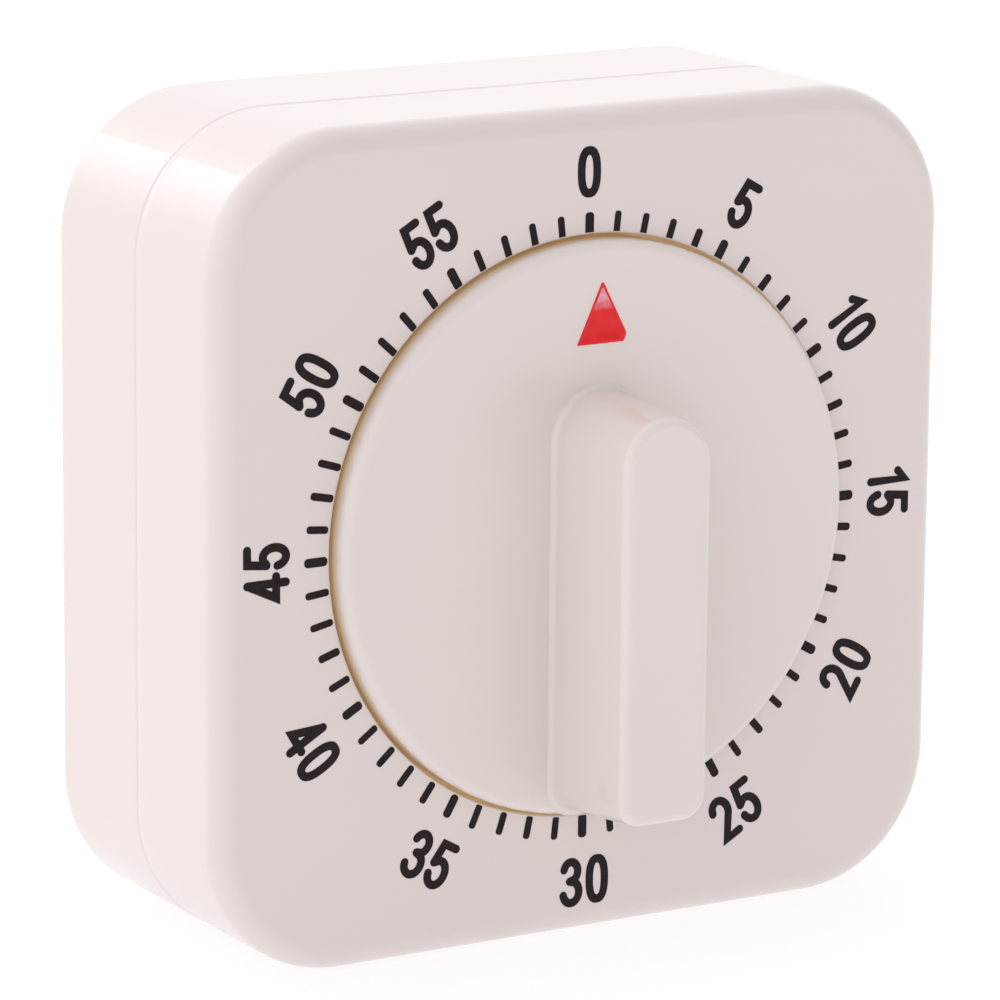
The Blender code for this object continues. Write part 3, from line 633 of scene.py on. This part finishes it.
# %% Triangle with a border
def pointer():
    """Triangle that stands a hair proud of the disc."""
    half = mark_high.x
    base = mark_low.z - AXIS_Z
    top = mark_high.z - AXIS_Z
    outline = [(-half - 0.08, base + 0.05), (-half - 0.02, base), (half - 0.32, base),
               (half - 0.18, base + 0.06), (half + 0.02, base + 0.62), (half, base + 0.78),
               (0.12, top - 0.08), (0.0, top), (-0.12, top - 0.08)]
    centre = (0.0, base + (top - base) * 0.36)

    def scaled(share):
        return [(centre[0] + (x - centre[0]) * share, centre[1] + (z - centre[1]) * share)
                for x, z in outline]

    rings = [at_depth(outline, DISC_Y + 0.3), at_depth(outline, DISC_Y - 0.03),
             at_depth(scaled(0.965), DISC_Y - 0.07), at_depth(scaled(0.86), DISC_Y - 0.07),
             at_depth(scaled(0.80), DISC_Y - 0.02), at_depth(scaled(0.3), DISC_Y - 0.015)]
    piece = skin("pointer_inlay", rings, crisp=20)
    # The middle takes the painted highlight and the border none.
    piece.data.materials.append(red_gloss("red_pointer_painted_highlight"))
    piece.data.materials.append(red_gloss("crimson_pointer_border", 0.0))
    for face in piece.data.polygons:
        if face.index < 3 * len(outline):
            face.material_index = 1
    return piece


pointer_inlay = pointer()
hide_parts("pointer_mark")
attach(pointer_inlay, "dial")
print("pointer:", len(pointer_inlay.data.polygons), "faces")

# %% [markdown]
# ## Printed minute marks
# Sixty dashes stand around the knob and every fifth is bolder. They are pad printed: a rubber
# pad lays down a thin skin of ink, so each dash has round ends and none is quite like the
# next. Geometry Nodes put one dash on each of sixty points and vary them from a fixed seed.

# %% Ink
def ink(name):
    """Warm black ink, a little uneven."""
    material, tree, shader, place = new_finish(name)
    patch = noise(tree, place, 1500, 4, 0.6)
    tint = ramp(tree, patch, [(0.25, (0.010, 0.006, 0.007)), (0.8, (0.028, 0.018, 0.021))])
    tree.links.new(tint, shader.inputs["Base Color"])
    tree.links.new(ramp(tree, patch, [(0.3, 0.4), (0.7, 0.55)]), shader.inputs["Roughness"])
    shader.inputs["Specular IOR Level"].default_value = 0.12
    bumps(tree, shader, [(noise(tree, place, 7000, 2), 3e-6)])
    return material


black_ink = ink("black_print_ink")
INK_SKIN = 0.03


# %% A kit for geometry node trees
def new_tree(name, inputs):
    """Geometry node tree with named float inputs; returns the tree, its input and output."""
    tree = bpy.data.node_groups.new(name, "GeometryNodeTree")
    tree.interface.new_socket("Geometry", in_out="INPUT", socket_type="NodeSocketGeometry")
    for label, value in inputs.items():
        item = tree.interface.new_socket(label, in_out="INPUT", socket_type="NodeSocketFloat")
        item.default_value = value
    tree.interface.new_socket("Geometry", in_out="OUTPUT", socket_type="NodeSocketGeometry")
    return tree, tree.nodes.new("NodeGroupInput"), tree.nodes.new("NodeGroupOutput")


def join_axes(tree, x=0.0, y=0.0, z=0.0):
    """Vector from three sockets or numbers."""
    node = tree.nodes.new("ShaderNodeCombineXYZ")
    for slot, value in enumerate((x, y, z)):
        if isinstance(value, (int, float)):
            node.inputs[slot].default_value = value
        else:
            tree.links.new(value, node.inputs[slot])
    return node.outputs[0]


def grow_piece(name, tree, values):
    """Object made by a node tree, its named inputs set by identifier, as one plain mesh."""
    piece = bpy.data.objects.new(name, bpy.data.meshes.new(name))
    bpy.context.scene.collection.objects.link(piece)
    step = piece.modifiers.new("grow", "NODES")
    step.node_group = tree
    for item in tree.interface.items_tree:
        if item.in_out == "INPUT" and item.name in values:
            step[item.identifier] = values[item.name]
    return settle(piece)


# %% Tree for the ring of dashes
def dash(tree, length, width, thickness):
    """Dash with round ends, flat in XY and thick along Z, closed on all sides."""
    box = tree.nodes.new("GeometryNodeCurvePrimitiveQuadrilateral")
    tree.links.new(width, box.inputs["Width"])
    tree.links.new(length, box.inputs["Height"])
    rounder = tree.nodes.new("GeometryNodeFilletCurve")
    rounder.mode = "POLY"
    rounder.inputs["Count"].default_value = 4
    tree.links.new(box.outputs["Curve"], rounder.inputs["Curve"])
    tree.links.new(calculate(tree, "MULTIPLY", width, 0.42), rounder.inputs["Radius"])
    fill = tree.nodes.new("GeometryNodeFillCurve")
    fill.mode = "NGONS"
    tree.links.new(rounder.outputs["Curve"], fill.inputs["Curve"])
    raise_it = tree.nodes.new("GeometryNodeExtrudeMesh")
    tree.links.new(fill.outputs["Mesh"], raise_it.inputs["Mesh"])
    tree.links.new(thickness, raise_it.inputs["Offset Scale"])
    underside = tree.nodes.new("GeometryNodeFlipFaces")
    tree.links.new(fill.outputs["Mesh"], underside.inputs["Mesh"])
    both = tree.nodes.new("GeometryNodeJoinGeometry")
    tree.links.new(raise_it.outputs["Mesh"], both.inputs["Geometry"])
    tree.links.new(underside.outputs["Mesh"], both.inputs["Geometry"])
    weld = tree.nodes.new("GeometryNodeMergeByDistance")
    weld.inputs["Distance"].default_value = 1e-6
    tree.links.new(both.outputs["Geometry"], weld.inputs["Geometry"])
    return weld.outputs["Geometry"]


def ring_tree(material):
    """Sixty dashes on a circle in the plane of the dial."""
    tree, given, result = new_tree("minute_ring", {
        "Count": 60.0, "Middle Radius": 0.0, "Axis Height": 0.0, "Face Depth": 0.0,
        "Dash Length": 0.0, "Dash Width": 0.0, "Bold Width": 0.0, "Ink Thickness": 0.0,
        "Print Variation": 0.0})
    get = given.outputs
    index = tree.nodes.new("GeometryNodeInputIndex").outputs[0]
    turn = calculate(tree, "DIVIDE", calculate(tree, "MULTIPLY", index, 2 * pi), get["Count"])
    x = calculate(tree, "MULTIPLY", calculate(tree, "SINE", turn), get["Middle Radius"])
    z = calculate(tree, "MULTIPLY", calculate(tree, "COSINE", turn), get["Middle Radius"])
    place = join_axes(tree, x, get["Face Depth"], calculate(tree, "ADD", z, get["Axis Height"]))
    points = tree.nodes.new("GeometryNodePoints")
    tree.links.new(get["Count"], points.inputs["Count"])
    tree.links.new(place, points.inputs["Position"])
    leftover = calculate(tree, "FLOORED_MODULO", index, 5)
    every_fifth = calculate(tree, "LESS_THAN", leftover, 0.5)
    other = calculate(tree, "GREATER_THAN", leftover, 0.5)
    upright = join_axes(tree, pi / 2, turn, 0.0)
    vary = tree.nodes.new("FunctionNodeRandomValue")
    vary.data_type = "FLOAT_VECTOR"
    vary.inputs["Seed"].default_value = 60
    spread = get["Print Variation"]
    less = calculate(tree, "SUBTRACT", 1.0, spread)
    more = calculate(tree, "ADD", 1.0, spread)
    tree.links.new(join_axes(tree, less, less, 1.0), vary.inputs[0])
    tree.links.new(join_axes(tree, more, more, 1.0), vary.inputs[1])
    joined = tree.nodes.new("GeometryNodeJoinGeometry")
    for width, chosen in ((get["Dash Width"], other), (get["Bold Width"], every_fifth)):
        spots = tree.nodes.new("GeometryNodeInstanceOnPoints")
        tree.links.new(points.outputs[0], spots.inputs["Points"])
        tree.links.new(chosen, spots.inputs["Selection"])
        tree.links.new(dash(tree, get["Dash Length"], width, get["Ink Thickness"]),
                       spots.inputs["Instance"])
        tree.links.new(upright, spots.inputs["Rotation"])
        tree.links.new(vary.outputs[0], spots.inputs["Scale"])
        tree.links.new(spots.outputs["Instances"], joined.inputs["Geometry"])
    real = tree.nodes.new("GeometryNodeRealizeInstances")
    paint = tree.nodes.new("GeometryNodeSetMaterial")
    paint.inputs["Material"].default_value = material
    tree.links.new(joined.outputs["Geometry"], real.inputs["Geometry"])
    tree.links.new(real.outputs["Geometry"], paint.inputs["Geometry"])
    tree.links.new(paint.outputs["Geometry"], result.inputs["Geometry"])
    return tree


# %% [markdown]
# The pad came down a third of a millimetre low and to the left, as happens in printing, so on
# the right and at the top the dashes reach the edge of the well and stop there.

# %% Print the ring
PRINT_SHIFT = (-0.34, -0.10)
minute_marks = grow_piece("minute_marks", ring_tree(black_ink), {
    "Count": 60.0, "Middle Radius": RING_R * 0.962 * MM, "Axis Height": AXIS_Z * MM,
    "Face Depth": (FACE_Y + 0.005) * MM, "Dash Length": RING_R * 0.078 * MM,
    "Dash Width": RING_R * 0.0238 * MM, "Bold Width": RING_R * 0.030 * MM,
    "Ink Thickness": (INK_SKIN + 0.005) * MM, "Print Variation": 0.06})
minute_marks.data.transform(Matrix.Translation((PRINT_SHIFT[0] * MM, 0, PRINT_SHIFT[1] * MM)))
for vertex in minute_marks.data.vertices:
    x, z = vertex.co.x, vertex.co.z - AXIS_Z * MM
    reach = max((WELL_R + WELL_EDGE) * MM / hypot(x, z), 1.0)
    vertex.co.x = x * reach
    vertex.co.z = AXIS_Z * MM + z * reach
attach(minute_marks, "case")
print("minute marks:", len(minute_marks.data.polygons), "faces")

# %% [markdown]
# ## Printed numbers
# The numbers are narrow signwriter's figures of one stroke width with round ends. Each figure
# is one or two strokes. A stroke is a centre line that is widened to both sides: smooth where
# it curves and pointed where it turns sharply. Two strokes of a figure are fused into one.

# %% Stroke helpers
STROKE = 0.170


def arc(centre, radius_x, radius_z, start, end, steps=14):
    """Points of an elliptic arc between two angles."""
    return [(centre[0] + radius_x * cos(radians(start + (end - start) * k / steps)),
             centre[1] + radius_z * sin(radians(start + (end - start) * k / steps)))
            for k in range(steps + 1)]


def side_line(line, offset):
    """Line moved sideways, with pointed turns."""
    moved = []
    for k, point in enumerate(line):
        before = Vector(point) - Vector(line[max(k - 1, 0)])
        after = Vector(line[min(k + 1, len(line) - 1)]) - Vector(point)
        if k == 0:
            before = after
        if k == len(line) - 1:
            after = before
        before.normalize()
        after.normalize()
        across = Vector((-before.y - after.y, before.x + after.x))
        across.normalize()
        stretch = min(1 / max(across.dot(Vector((-before.y, before.x))), 0.3), 1.9)
        moved.append((point[0] + across.x * offset * stretch,
                      point[1] + across.y * offset * stretch))
    return moved


def round_end(line, width, steps=8):
    """Half circle around the last point of a line."""
    last, previous = Vector(line[-1]), Vector(line[-2])
    heading = atan2(last.y - previous.y, last.x - previous.x) * 180 / pi
    return [polar(width / 2, heading + 90 - 180 * k / steps, line[-1]) for k in range(1, steps)]


def widen(line, width=STROKE):
    """Closed outline around a stroke."""
    left = side_line(line, width / 2)
    right = side_line(line, -width / 2)
    back = list(reversed(line))
    return left + round_end(line, width) + list(reversed(right)) + round_end(back, width)


# %% Figures as strokes in a frame one unit high
def ring_line(centre, half_x, half_z, squareness, steps=40):
    """Closed oval with straighter sides than an ellipse."""
    points = []
    for k in range(steps):
        c, s = cos(2 * pi * k / steps), sin(2 * pi * k / steps)
        points.append((centre[0] + half_x * abs(c) ** squareness * (1 if c > 0 else -1),
                       centre[1] + half_z * abs(s) ** squareness * (1 if s > 0 else -1)))
    return points


EDGE = STROKE / 2
FIGURES = {
    "0": (0.52, []),
    "1": (0.40, [[(0.10, 0.735), (0.275, 1 - EDGE * 1.15), (0.275, EDGE)]]),
    "2": (0.52, [[*arc((0.255, 0.705), 0.176, 0.216, 172, 0),
                  *arc((0.155, 0.70), 0.276, 0.30, -4, -42, 5), (0.105, EDGE), (0.44, EDGE)]]),
    "3": (0.52, [[*arc((0.250, 0.725), 0.160, 0.196, 165, -62, 20), (0.225, 0.525)],
                 [(0.225, 0.525), *arc((0.255, 0.300), 0.182, 0.221, 62, -168, 20)]]),
    "4": (0.56, [[(0.505, 0.295), (0.085, 0.295), (0.375, 0.895)],
                 [(0.375, 0.915), (0.375, EDGE)]]),
    "5": (0.52, [[(0.435, 1 - EDGE), (0.150, 1 - EDGE), (0.100, 0.500)],
                 [(0.105, 0.500), *arc((0.255, 0.330), 0.182, 0.251, 128, -165, 22)]])}


def figure_solid(name, outlines, hole=None):
    """Thin solid of a figure, one unit high, that stands in the plane of the dial."""
    solids = []
    for outline in outlines:
        loops = [outline] if hole is None else [outline, hole]
        flat = [point for loop in loops for point in loop]
        count = len(flat)
        points = [(x, -1.0, z) for x, z in flat] + [(x, 0.0, z) for x, z in flat]
        faces = []
        for a, b, c in tessellate_polygon([[Vector((x, z, 0)) for x, z in loop] for loop in loops]):
            faces += [(a, b, c), (count + a, count + b, count + c)]
        start = 0
        for loop in loops:
            for k in range(len(loop)):
                a, b = start + k, start + (k + 1) % len(loop)
                faces.append((a, b, count + b, count + a))
            start += len(loop)
        solids.append(new_piece(name, points, faces))
    whole = solids[0]
    for other in solids[1:]:
        cut_or_join(whole, other, "UNION")
    return whole


def draw_figure(sign):
    """Solid of one figure and its width."""
    width, strokes = FIGURES[sign]
    if sign == "0":
        middle = (width / 2, 0.5)
        outer = ring_line(middle, width / 2, 0.5, 0.80)
        inner = ring_line(middle, width / 2 - STROKE, 0.5 - STROKE, 0.86)
        return figure_solid("figure_0", [outer], inner), width
    return figure_solid("figure_" + sign, [widen(line) for line in strokes]), width


# %% Place the numbers
NUMBER_H = RING_R * 0.160
NUMBER_R = RING_R * 1.135
NUMBER_SHIFT = (-0.26, -0.35)
NUMBER_TURN = -0.32
FIGURE_GAP = 0.075
figures = {sign: draw_figure(sign) for sign in FIGURES}


def print_numbers():
    """All numbers as one skin of ink, each turned to its place around the dial."""
    ink_skin = bmesh.new()
    for minute in range(0, 60, 5):
        signs = str(minute)
        turn = minute * 6 + NUMBER_TURN
        outward = minute <= 15 or minute >= 45
        total = sum(figures[sign][1] for sign in signs) + FIGURE_GAP * (len(signs) - 1)
        start = -total / 2
        for sign in signs:
            solid, width = figures[sign]
            copy = solid.data.copy()
            copy.transform(Matrix.Translation((0, 0, -AXIS_Z * MM)))
            copy.transform(Matrix.Scale(1 / MM, 4))
            copy.transform(Matrix.Translation((start, 0, -0.5)))
            size = Matrix.Diagonal((NUMBER_H, INK_SKIN + 0.005, NUMBER_H, 1))
            tilt = Matrix.Rotation(radians(turn if outward else turn - 180), 4, "Y")
            x, z = NUMBER_R * sin(radians(turn)), NUMBER_R * cos(radians(turn))
            place = Matrix.Translation((x + NUMBER_SHIFT[0], FACE_Y + 0.005,
                                        AXIS_Z + z + NUMBER_SHIFT[1]))
            copy.transform(Matrix.Scale(MM, 4) @ place @ tilt @ size)
            ink_skin.from_mesh(copy)
            bpy.data.meshes.remove(copy)
            start += width + FIGURE_GAP
    mesh = bpy.data.meshes.new("dial_numbers")
    ink_skin.to_mesh(mesh)
    ink_skin.free()
    soften(mesh)
    piece = bpy.data.objects.new("dial_numbers", mesh)
    bpy.context.scene.collection.objects.link(piece)
    return piece


dial_numbers = print_numbers()
for solid, width in figures.values():
    bpy.data.objects.remove(solid, do_unlink=True)
dial_numbers.data.materials.clear()
dial_numbers.data.materials.append(black_ink)
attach(dial_numbers, "case")
print("numbers:", len(dial_numbers.data.polygons), "faces")

# %% [markdown]
# ## Metal and acetal parts
# The parts of the frame keep their shapes and only get a finish. Plates and levers are punched
# from rolled sheet, so their grain runs one way. Wheels are brass, turned steel is brighter,
# springs are blued by heat, and the bell is nickel plated.

# %% Metal finishes
def metal(name, light, dark, rough, grain=(1.0, 1.0, 1.0), depth=4e-7, specks=0.15):
    """Metal with grain along one axis, small stains and fine scratches."""
    material, tree, shader, place = new_finish(name)
    shader.inputs["Metallic"].default_value = 1.0
    stains = noise(tree, place, 260, 5, 0.6)
    lines = noise(tree, place, 2400, 3, 0.55, grain)
    tint = ramp(tree, stains, [(0.25, dark), (0.65, light)])
    tree.links.new(tint, shader.inputs["Base Color"])
    strokes = ramp(tree, lines, [(0.3, 0.0), (0.7, 1.0)])
    mixed = blend_colours(tree, stains, strokes, (0.5, 0.5, 0.5))
    dull = ramp(tree, mixed, [(0.2, rough), (0.8, rough + specks)])
    tree.links.new(dull, shader.inputs["Roughness"])
    bumps(tree, shader, [(lines, depth), (noise(tree, place, 700, 4), depth * 3)])
    return material


def acetal(name):
    """Natural acetal: milky, slightly waxy, with faint flow clouds."""
    material, tree, shader, place = new_finish(name)
    flow = noise(tree, place, 340, 4, 0.6, (1.0, 0.3, 1.0))
    tree.links.new(ramp(tree, flow, [(0.3, (0.70, 0.66, 0.56)), (0.7, (0.80, 0.77, 0.68))]),
                   shader.inputs["Base Color"])
    tree.links.new(ramp(tree, flow, [(0.3, 0.38), (0.7, 0.52)]), shader.inputs["Roughness"])
    shader.inputs["Subsurface Weight"].default_value = 0.08
    shader.inputs["Subsurface Radius"].default_value = (0.001, 0.0008, 0.0006)
    bumps(tree, shader, [(noise(tree, place, 2200, 3), 2e-6)])
    return material


finishes = {
    "screws": metal("zinc_screw_steel", (0.72, 0.71, 0.67), (0.48, 0.47, 0.44), 0.24,
                    specks=0.2),
    "plates": metal("zinc_plate_steel", (0.66, 0.66, 0.63), (0.50, 0.50, 0.47), 0.28,
                    (6.0, 1.0, 0.5)),
    "pillars": metal("turned_brass", (0.78, 0.58, 0.27), (0.58, 0.40, 0.16), 0.22,
                     (0.5, 8.0, 0.5)),
    "turned_steel": metal("turned_steel", (0.70, 0.70, 0.70), (0.52, 0.52, 0.52), 0.18,
                          (0.4, 9.0, 0.4)),
    "stamped_steel": metal("stamped_steel", (0.58, 0.58, 0.57), (0.42, 0.42, 0.41), 0.32,
                           (1.0, 1.0, 5.0)),
    "springs": metal("blued_spring_steel", (0.16, 0.20, 0.32), (0.10, 0.09, 0.14), 0.22,
                     (0.6, 6.0, 0.6)),
    "brass_wheels": metal("stamped_brass", (0.80, 0.60, 0.28), (0.62, 0.43, 0.18), 0.26,
                          (1.0, 1.0, 4.0)),
    "acetal_wheels": acetal("natural_acetal"),
    "bell": metal("nickel_plate", (0.76, 0.74, 0.70), (0.62, 0.59, 0.54), 0.10, specks=0.12)}

# %% Put the finishes on the frame's parts
slot_of = {part["node"]: part["material_slot"] for part in frame["record"]["subparts"]}
plastics = {"case_front": case_plastic, "case_rear": cover_plastic, "knob": knob_plastic,
            "mark": pointer_inlay.data.materials[0]}
for node, part in frame["nodes"].items():
    finish = finishes.get(slot_of[node]) or plastics[slot_of[node]]
    if not part.material_slots:
        part.data.materials.append(finish)
    for place in part.material_slots:
        place.material = finish
print("finished", len(frame["nodes"]), "parts of the frame")

# %% [markdown]
# ## Case screws
# Four pan head screws hold the halves together, deep in their bores. One head is modelled with
# a domed top, a cross recess and a turned shank, and Geometry Nodes set it on four points, each
# with its own turn, because screws never stop in line.

# %% One screw
def screw_pattern():
    """Screw around the Y axis with its seat at y = 0, driven from +Y."""
    profile = [(0.7, -10.2), (1.25, -9.2)]
    y = -9.0
    while y < -1.2:
        profile += [(1.25, y), (1.02, y + 0.25), (1.02, y + 0.3), (1.25, y + 0.55)]
        y += 0.75
    profile += [(1.25, -0.3), (1.25, 0.0), (2.5, 0.0), (2.6, 0.1), (2.6, 0.75)]
    profile += [(2.6 - 0.62 * sin(pi / 2 * k / 5), 0.75 + 0.95 * sin(pi / 2 * k / 5) - 0.25 * k / 5)
                for k in range(1, 6)]
    profile += [(1.2, 1.66), (0.5, 1.7)]
    body = skin("screw_pattern", [at_depth(circle(radius, 28), y) for radius, y in profile])
    cross = []
    for turn in range(0, 360, 90):
        cross += [polar(1.5, turn - 12), polar(1.5, turn + 12), polar(0.52, turn + 45)]
    tip = [(x * 0.45, z * 0.45) for x, z in cross]
    recess = skin("recess", [at_depth(tip, 0.5), at_depth(cross, 1.5), at_depth(cross, 2.2)])
    cut_or_join(body, recess, "DIFFERENCE")
    body.data.transform(Matrix.Translation((0, 0, -AXIS_Z * MM)))
    soften(body.data, 30)
    return body


# %% Tree that sets the screws
def screw_tree(pattern, material):
    """Pattern on four corners of a square, each turned by a random angle."""
    tree, given, result = new_tree("case_screws", {
        "Spacing": 0.0, "Seat Depth": 0.0, "Axis Height": 0.0})
    get = given.outputs
    index = tree.nodes.new("GeometryNodeInputIndex").outputs[0]
    turn = calculate(tree, "ADD", calculate(tree, "MULTIPLY", index, pi / 2), pi / 4)
    reach = calculate(tree, "MULTIPLY", get["Spacing"], sqrt(0.5))
    x = calculate(tree, "MULTIPLY", calculate(tree, "COSINE", turn), reach)
    z = calculate(tree, "MULTIPLY", calculate(tree, "SINE", turn), reach)
    points = tree.nodes.new("GeometryNodePoints")
    points.inputs["Count"].default_value = 4
    height = calculate(tree, "ADD", z, get["Axis Height"])
    tree.links.new(join_axes(tree, x, get["Seat Depth"], height), points.inputs["Position"])
    shape = tree.nodes.new("GeometryNodeObjectInfo")
    shape.inputs["Object"].default_value = pattern
    spin = tree.nodes.new("FunctionNodeRandomValue")
    spin.data_type = "FLOAT_VECTOR"
    spin.inputs["Seed"].default_value = 4
    spin.inputs[0].default_value = (0, 0, 0)
    spin.inputs[1].default_value = (0, pi / 2, 0)
    spots = tree.nodes.new("GeometryNodeInstanceOnPoints")
    real = tree.nodes.new("GeometryNodeRealizeInstances")
    paint = tree.nodes.new("GeometryNodeSetMaterial")
    paint.inputs["Material"].default_value = material
    tree.links.new(points.outputs[0], spots.inputs["Points"])
    tree.links.new(shape.outputs["Geometry"], spots.inputs["Instance"])
    tree.links.new(spin.outputs[0], spots.inputs["Rotation"])
    tree.links.new(spots.outputs["Instances"], real.inputs["Geometry"])
    tree.links.new(real.outputs["Geometry"], paint.inputs["Geometry"])
    tree.links.new(paint.outputs["Geometry"], result.inputs["Geometry"])
    return tree


pattern = screw_pattern()
case_screws = grow_piece("case_screws", screw_tree(pattern, finishes["screws"]), {
    "Spacing": 2 * SCREW_AT * MM, "Seat Depth": (SCREW_SEAT_Y + 0.3) * MM,
    "Axis Height": AXIS_Z * MM})
bpy.data.objects.remove(pattern, do_unlink=True)
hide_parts("case_screw_1", "case_screw_2", "case_screw_3", "case_screw_4")
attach(case_screws, "case")
print("case screws:", len(case_screws.data.polygons), "faces")

# %% [markdown]
# ## Studio
# The timer stands on plain white paper under a white sky, as in a light tent. The sky is dimmer
# ahead of the dial and brighter to the left and overhead, so the side and the top are lighter
# than the dial. One large softbox stands behind it on the left, and its near edge draws the
# bright streak on the round corner of the case.

# %% Paper floor
def paper_floor():
    """Large plain sheet of white paper."""
    mesh = bpy.data.meshes.new("floor")
    reach = 6.0
    corners = [(-reach, -reach, 0), (reach, -reach, 0), (reach, reach, 0), (-reach, reach, 0)]
    mesh.from_pydata(corners, [], [(0, 1, 2, 3)])
    floor = bpy.data.objects.new("floor", mesh)
    bpy.context.scene.collection.objects.link(floor)
    material, tree, shader, place = new_finish("white_paper")
    fibres = noise(tree, place, 900, 4, 0.6)
    tree.links.new(ramp(tree, fibres, [(0.3, 0.28), (0.7, 0.30)]), shader.inputs["Base Color"])
    shader.inputs["Roughness"].default_value = 0.9
    shader.inputs["Specular IOR Level"].default_value = 0.1
    shader.inputs["Emission Color"].default_value = (1.0, 1.0, 1.0, 1.0)
    shader.inputs["Emission Strength"].default_value = 0.76
    bumps(tree, shader, [(fibres, 2e-6)])
    mesh.materials.append(material)
    return floor


paper_floor()


# %% Sky with a softbox
SKY = 1.08
SOFTBOX = 2.3
SOFTBOX_EDGE = 100.3
LOBES = {"ahead": ((0.3, -0.8, 0.5), 0.0, 0.9, -0.50),
         "from the left": ((-0.88, -0.45, 0.1), 0.3, 1.0, 0.27),
         "overhead": ((0.0, 0.35, 0.94), 0.3, 1.0, 0.26)}


def studio_sky():
    """White sky with dim and bright lobes, and a softbox behind the timer on the left."""
    world = bpy.data.worlds.new("studio")
    bpy.context.scene.world = world
    world.use_nodes = True
    tree = world.node_tree
    sky = tree.nodes["Background"]
    sky.inputs["Strength"].default_value = 1.0
    ray = tree.nodes.new("ShaderNodeTexCoord").outputs["Generated"]

    def facing(direction, start, end):
        """0 to 1 as the ray turns towards a direction."""
        dot = tree.nodes.new("ShaderNodeVectorMath")
        dot.operation = "DOT_PRODUCT"
        tree.links.new(ray, dot.inputs[0])
        dot.inputs[1].default_value = direction
        steps = tree.nodes.new("ShaderNodeMapRange")
        steps.inputs["From Min"].default_value = start
        steps.inputs["From Max"].default_value = end
        tree.links.new(dot.outputs["Value"], steps.inputs["Value"])
        return steps.outputs["Result"]

    edge = radians(SOFTBOX_EDGE)
    across = (-sin(edge), cos(edge), 0.0)
    right_edge = facing(across, 0.0, 0.012)
    fade = facing(across, 0.30, 0.0)
    above = facing((0, 0, 1), 0.05, 0.30)
    below_top = facing((0, 0, 1), 0.95, 0.80)
    behind = facing((0, 1, 0), 0.0, 0.05)
    glow = right_edge
    for part in (fade, above, below_top, behind):
        glow = calculate(tree, "MULTIPLY", glow, part)
    level = calculate(tree, "ADD", calculate(tree, "MULTIPLY", glow, SOFTBOX), SKY)
    for direction, start, end, gain in LOBES.values():
        lobe = calculate(tree, "MULTIPLY", facing(direction, start, end), gain)
        level = calculate(tree, "ADD", level, lobe)
    shade = tree.nodes.new("ShaderNodeCombineColor")
    for channel in range(3):
        tree.links.new(level, shade.inputs[channel])
    tree.links.new(shade.outputs[0], sky.inputs["Color"])
    return world


studio_sky()
bpy.context.scene.view_settings.view_transform = "Standard"
bpy.context.scene.view_settings.look = "None"
print("studio ready:", len(LOBES), "lobes and a softbox")

# %% [markdown]
# ## Camera
# A long lens from the left and a little above keeps the square case nearly free of converging
# lines. The camera is turned by its three axes instead of by angles, so that its place, its
# tilt and its small roll can be read straight from the numbers.

# %% Camera
CAMERA_AT = (-0.24873, -0.40986, 0.14497)
AZIMUTH = radians(-30.844)
ELEVATION = radians(12.844)
ROLL = radians(0.529)
LENS = 211.12


def studio_camera():
    """Camera from its place, its azimuth, elevation and roll, and a long lens."""
    backwards = Vector((sin(AZIMUTH) * cos(ELEVATION), -cos(AZIMUTH) * cos(ELEVATION),
                        sin(ELEVATION)))
    level = Vector((cos(AZIMUTH), sin(AZIMUTH), 0.0))
    upright = backwards.cross(level)
    right = cos(ROLL) * level + sin(ROLL) * upright
    up = cos(ROLL) * upright - sin(ROLL) * level
    data = bpy.data.cameras.new("studio_camera")
    data.sensor_width = 36.0
    data.lens = LENS
    data.clip_start = 0.01
    camera = bpy.data.objects.new("studio_camera", data)
    bpy.context.scene.collection.objects.link(camera)
    rows = [(right[k], up[k], backwards[k], CAMERA_AT[k]) for k in range(3)]
    camera.matrix_world = Matrix((*rows, (0.0, 0.0, 0.0, 1.0)))
    bpy.context.scene.camera = camera
    return camera


studio_camera()
